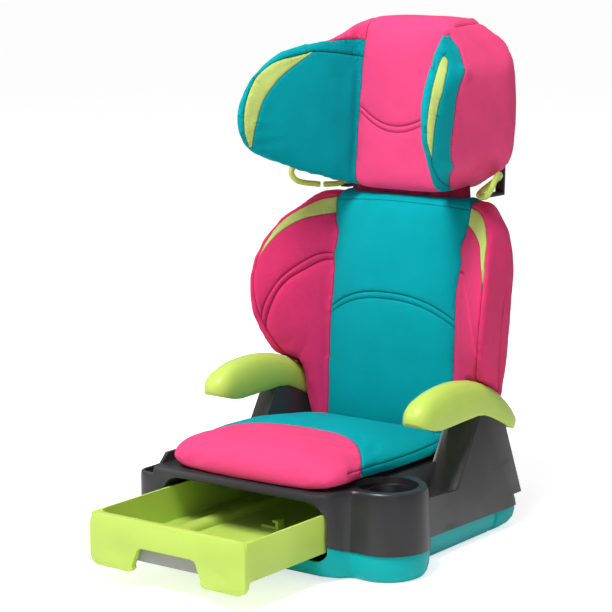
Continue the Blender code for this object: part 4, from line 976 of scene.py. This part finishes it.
def outward(co):
    """Place along a head wing, from the middle of the headrest to the wing's front rim."""
    return half(co) - co[:, 1]


def head_teal(co):
    outer = beside(co[:, 1], co[:, 2], HEAD_TEAL)
    band = co[:, 2] - (HEAD_BAND_TOP + 1.2 * np.maximum(0.0, 0.12 - co[:, 1]))
    return np.where(across(co) < HEAD_RIM_MIDDLE, band, outer)


def head_band(co):
    return beside(outward(co), co[:, 2], HEAD_BAND)


def lime_outer(co):
    right = beside(across(co), co[:, 2], HEAD_RIGHT_OUTER)
    return np.where(co[:, 0] < 0, head_band(co), right)


def lime_inner(co):
    left = beside(outward(co), co[:, 2], HEAD_LIME_INNER)
    right = beside(across(co), co[:, 2], HEAD_RIGHT_INNER)
    return np.where(co[:, 0] < 0, left, right)


def in_crescent(co, margin=0.0):
    low = co[:, 2] > HEAD_LIME_LOW - margin
    left = (across(co) < HEAD_RIM_OUTER) & (outward(co) > 0.003 - margin)
    right = (co[:, 2] < HEAD_RIGHT_TOP + margin) & (co[:, 1] < 0.08)
    inside = np.where(co[:, 0] < 0, left, right) & low
    return inside & (lime_outer(co) < margin) & (lime_inner(co) > -margin)


def on_band(co, normal):
    left = (co[:, 0] < 0) & (across(co) < HEAD_RIM_OUTER)
    right = (co[:, 0] >= 0) & (across(co) < 0.146) & (outward(co) < 0.09)
    return (head_centre(co) > 0) & (co[:, 2] > HEAD_LIME_LOW) & (left | right)


def u_line(drop):
    return lambda co: co[:, 2] - (U_LOW - drop + U_BOW * (co[:, 0] - U_MIDDLE) ** 2)


def head_rim(co):
    return across(co) - HEAD_RIM_SEAM


def head_bottom(co):
    return co[:, 2] - (0.469 + 0.21 * (co[:, 1] - 0.1548))


def in_middle(co, normal):
    return (head_centre(co) < 0.001) & (normal[:, 1] < 0.2) & (co[:, 2] < 0.6)


def on_teal(co, normal):
    return (head_centre(co) > 0) & (co[:, 1] < HEAD_TEAL_REAR)


def on_tip(co, normal):
    return (co[:, 2] < HEAD_LIME_LOW) & (co[:, 1] < 0.15) & (half(co) > 0.072)


def on_bottom(co, normal):
    return (half(co) > 0.085) & (co[:, 1] > 0.12) & (across(co) > 0.15)


head_seams = [
    Seam("centre", head_centre, lambda co, n: np.ones(len(co), bool),
         depth=0.0026, width=0.003, pleats=0.35),
    Seam("teal", head_teal, on_teal, depth=0.002, width=0.0018, pleats=0.8),
    Seam("band", head_band, on_band, depth=0.0024, width=0.0018, pleats=0.9),
    Seam("lime_outer", lime_outer, lambda co, n: (co[:, 0] > 0) & in_crescent(co, 0.004),
         depth=0.0014, width=0.0014, pleats=0.6, holds=False),
    Seam("lime_inner", lime_inner, lambda co, n: in_crescent(co, 0.004),
         depth=0.0012, width=0.0014, pleats=0.6, holds=False),
    Seam("tip", head_rim, on_tip, depth=0.002, width=0.0018, pleats=0.6),
    Seam("u_upper", u_line(0.0), in_middle, depth=0.0024, width=0.002, pleats=0.15, stitches=(0.0021,)),
    Seam("u_lower", u_line(U_SPACING), in_middle, depth=0.0024, width=0.002, pleats=0.15,
         stitches=(-0.0021,)),
    Seam("bottom", head_bottom, on_bottom, depth=0.0016, width=0.0016, pleats=0.3, holds=False),
]


def head_panels(co, normal):
    wing = head_centre(co) >= 0
    teal = wing & (head_teal(co) < 0) & (co[:, 1] < HEAD_TEAL_REAR)
    return np.where(wing & in_crescent(co), 2, np.where(teal, 1, 0))


# ---------- seat cushion
def seat_split(co):
    return co[:, 1] - (SEAT_SPLIT - SEAT_SPLIT_BOW * co[:, 0] ** 2)


def seat_edge(co):
    return co[:, 2] - SEAT_EDGE


def on_seat_edge(co, normal):
    return (normal[:, 2] > -0.6) & (co[:, 1] > -0.15)


seat_seams = [
    Seam("split", seat_split, lambda co, n: n[:, 2] > -0.5, depth=0.0022, width=0.0024, pleats=0.3,
         stitches=(0.0024,), thread=TEAL_THREAD),
    Seam("edge", seat_edge, on_seat_edge, depth=0.002, width=0.0018, pleats=0.9, holds=False),
]


def seat_panels(co, normal):
    return np.where(seat_split(co) > 0, 1, 0)


# ---------- easing the forms
def ease(value, low, high):
    """0 below low, 1 above high, and smooth between."""
    t = np.clip((value - low) / (high - low), 0.0, 1.0)
    return t * t * (3 - 2 * t)


def seat_shape(co):
    """The stuffing is thick at the front and falls away to the back's foot, the front lip droops, and
    the front corners swell."""
    co = co.copy()
    x, y, z = co.T
    fill = np.interp(y, *zip(*SEAT_FILL))
    co[:, 2] = SEAT_FOOT + (z - SEAT_FOOT) * fill
    lip = ease(-y, 0.15, 0.19)
    co[:, 2] -= 0.005 * lip
    co[:, 1] -= 0.003 * lip
    corner = ease(np.abs(x), 0.08, 0.13) * ease(-y, 0.1, 0.18)
    co[:, 0] += np.sign(x) * 0.007 * corner
    co[:, 1] -= 0.008 * corner
    return co


def back_shape(co):
    """The wings' rims swell forwards and outwards, their tops sink a little, and the wings narrow to the
    centre panel at their foot, which hangs low."""
    co = co.copy()
    x, y, z = co.T
    side = np.sign(x)
    swell = ease(np.abs(x) - y, 0.02, 0.12)
    co[:, 0] += side * 0.0035 * swell
    co[:, 1] -= 0.006 * swell
    wide = np.abs(x) > BACK_PANEL_HALF
    co[wide, 2] -= 0.0045 * (ease(z, 0.385, 0.425) * ease(np.abs(x), 0.103, 0.112))[wide]
    keep = np.interp(z, [0.12, 0.155, 0.18], [0.75, 0.95, 1.0])
    co[wide, 0] = side[wide] * (BACK_PANEL_HALF + (np.abs(co[wide, 0]) - BACK_PANEL_HALF) * keep[wide])
    co[:, 2] -= 0.006 * (1 - ease(z, 0.12, 0.15))
    return co


def head_corners(co):
    """Where the headrest's wings turn from their top to their outer side."""
    return ease(across(co), 0.14, 0.156) * ease(co[:, 2], 0.54, 0.6) * ease(half(co), 0.08, 0.1)


def head_shape(co):
    """The wings' rims swell forwards, the left wing's top slopes down to its rim, the crown is a little
    lower over the centre panel than over the right wing, and the right wing's foot hangs low."""
    co = co.copy()
    x, y, z = co.T
    swell = ease(np.abs(x) - y, 0.06, 0.145)
    co[:, 1] -= np.where(x < 0, 0.0065, 0.0015) * swell
    slope_foot = 0.636
    fall = np.where(x < 0, 1 - ease(y, 0.11, 0.2), 0.0) * ease(-x, 0.06, 0.075)
    top = z > slope_foot
    co[top, 2] = slope_foot + (z[top] - slope_foot) * (1 - 0.55 * fall[top])
    shoulder = ease(x, 0.1, 0.14) * ease(z, 0.6, 0.64)
    co[:, 2] -= 0.002 * shoulder
    co[:, 0] -= 0.001 * shoulder
    crown = ease(z, 0.65, 0.67)
    co[:, 2] -= 0.002 * crown * ease(x, 0.03, 0.068) * (x < HEAD_CROWN_SEAM)
    co[:, 2] += 0.001 * crown * (1 - ease(x, 0.075, 0.11)) * (x >= HEAD_CROWN_SEAM)
    co[:, 2] -= 0.006 * (1 - ease(z, 0.455, 0.52)) * ease(x, 0.065, 0.095)
    co[:, 1] -= 0.003 * np.where(x < -0.1, ease(-y, -0.05, 0.0) * (1 - ease(z, 0.56, 0.6)), 0.0)
    return co


# ---------- making the soft parts
seat, _ = joined("seat_cushion", SEAT_PADS, seat_shape)
seat_kept = normals(seat.data)[:, 2] < -0.8
back, back_kept = joined("back_cushion", BACK_PADS, back_shape, "back_shell")
head, head_kept = joined("head_cushion", HEAD_PADS, head_shape, "head_shell", head_corners)
puff([(seat, seat_seams, seat_kept), (back, back_seams, back_kept), (head, head_seams, head_kept)])
for obj, shell, kept in ((back, "back_shell", back_kept), (head, "head_shell", head_kept)):
    cleared(obj, mesh_tree(nodes[shell].data), kept)
    mark = obj.data.attributes.new("kept", "FLOAT", "POINT")
    mark.data.foreach_set("value", kept.astype(float))

covers = [
    (seat, seat_seams, seat_panels, [pink_bright, teal_cloth], "base", SEAT_PADS),
    (back, back_seams, back_panels, [pink_cloth, teal_cloth, lime_cloth], "back", BACK_PADS),
    (head, head_seams, head_panels, [pink_bright, teal_cloth, lime_cloth], "head", HEAD_PADS),
]
for obj, seams, panels, cloths, body, pads in covers:
    stitch_lines = sew(obj, seams, panels, cloths)
    if body in BARE_REAR:
        kept = np.empty(len(obj.data.vertices))
        obj.data.attributes["kept"].data.foreach_get("value", kept)
        shell = mesh_tree(nodes[body + "_shell"].data)
        cleared(obj, shell, kept > 0.01)
        tucked(obj, shell, *BARE_REAR[body])
    for yarn, lines in stitch_lines.items():
        stitches = stitching(f"{obj.name}_stitches_{yarn}", obj, lines, threads[yarn])
        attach(stitches, body)
    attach(obj, body)
    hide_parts(*pads)


# ---------- the skirt between the back and the headrest
def skirt():
    """A slack flap of pink cloth in soft upright folds, from the back's top up into the headrest's foot."""
    columns, rows = 64, 16
    verts = []
    for row in range(rows + 1):
        rise = row / rows
        for column in range(columns + 1):
            side = 2 * column / columns - 1
            reach = SKIRT_HALF * (1 - SKIRT_TAPER * rise)
            fold = SKIRT_FOLD * math.sin(SKIRT_TURNS * side + 1.4 * rise) * math.sin(math.pi * rise) ** 0.6
            y = SKIRT_DEPTH + SKIRT_WRAP * abs(side) ** 2.2 + fold
            z = SKIRT_FOOT + (SKIRT_TOP - SKIRT_FOOT) * rise
            verts.append((side * reach, y, z))
    wide = columns + 1
    faces = [
        (r * wide + c, r * wide + c + 1, (r + 1) * wide + c + 1, (r + 1) * wide + c)
        for r in range(rows)
        for c in range(columns)
    ]
    mesh = bpy.data.meshes.new("neck_skirt")
    mesh.from_pydata(verts, [], faces)
    for polygon in mesh.polygons:
        polygon.use_smooth = True
    # The skirt's pink is darkened: painted shade under the headrest
    mesh.materials.append(pink_painted_shade)
    obj = link("neck_skirt", mesh)
    thick = obj.modifiers.new("thickness", "SOLIDIFY")
    thick.thickness = SKIRT_THICK
    thick.offset = 0.0
    return baked(obj)


neck = skirt()
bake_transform(neck, "back", "head", start=(0.0, SKIRT_DEPTH, 0.428), end=(0.0, SKIRT_DEPTH, 0.458))


# ---------- floor, light and camera
def pale_floor():
    """A wide floor that looks almost white, and lights the part only a little."""
    corners = [(x * FLOOR_HALF, y * FLOOR_HALF, 0) for x, y in ((-1, -1), (1, -1), (1, 1), (-1, 1))]
    mesh = bpy.data.meshes.new("floor")
    mesh.from_pydata(corners, [], [(0, 1, 2, 3)])
    shader = Shader("floor_look")
    seen = shader.add("ShaderNodeLightPath").outputs["Is Camera Ray"]
    look = shader.finish(
        Base_Color=shader.mix(shader.noise(3.0), (0.9, 0.9, 0.9, 1), (0.93, 0.93, 0.93, 1)),
        Roughness=0.75,
        Emission_Color=WHITE,
        Emission_Strength=shader.ramp(seen, 0.0, 1.0, 0.08, 0.66),
    )
    mesh.materials.append(look)
    return link("floor", mesh)


def studio_world():
    """White surroundings, bright where they are seen and dimmer as a light."""
    world = bpy.data.worlds.new("studio")
    world.use_nodes = True
    tree = world.node_tree
    glow = tree.nodes["Background"]
    glow.inputs["Color"].default_value = WHITE
    glow.inputs["Strength"].default_value = 0.34
    seen = tree.nodes.new("ShaderNodeBackground")
    seen.inputs["Color"].default_value = WHITE
    ray = tree.nodes.new("ShaderNodeLightPath")
    choose = tree.nodes.new("ShaderNodeMixShader")
    tree.links.new(ray.outputs["Is Camera Ray"], choose.inputs[0])
    tree.links.new(glow.outputs[0], choose.inputs[1])
    tree.links.new(seen.outputs[0], choose.inputs[2])
    tree.links.new(choose.outputs[0], tree.nodes["World Output"].inputs["Surface"])
    return world


def softbox(name, place, size, power, target=(0.0, 0.0, 0.35)):
    data = bpy.data.lights.new(name, "AREA")
    data.shape = "RECTANGLE"
    data.size, data.size_y = size
    data.energy = power
    light = link(name, data)
    light.location = place
    light.rotation_euler = (Vector(target) - Vector(place)).to_track_quat("-Z", "Y").to_euler()


pale_floor()
bpy.context.scene.world = studio_world()
softbox("key", (0.05, -1.35, 2.75), (1.1, 1.1), 88.0)
softbox("left_fill", (-2.2, -1.4, 1.4), (1.4, 1.8), 12.0)
softbox("right_fill", (2.4, -1.6, 1.3), (0.5, 1.8), 4.0)

camera_data = bpy.data.cameras.new("camera")
camera_data.lens = CAMERA_LENS
camera_data.sensor_width = 36.0
camera = link("camera", camera_data)
camera.location = CAMERA_PLACE
camera.rotation_euler = (math.radians(90 - CAMERA_PITCH), 0.0, math.radians(CAMERA_AZIMUTH))
bpy.context.scene.camera = camera
bpy.context.scene.view_settings.view_transform = "Standard"
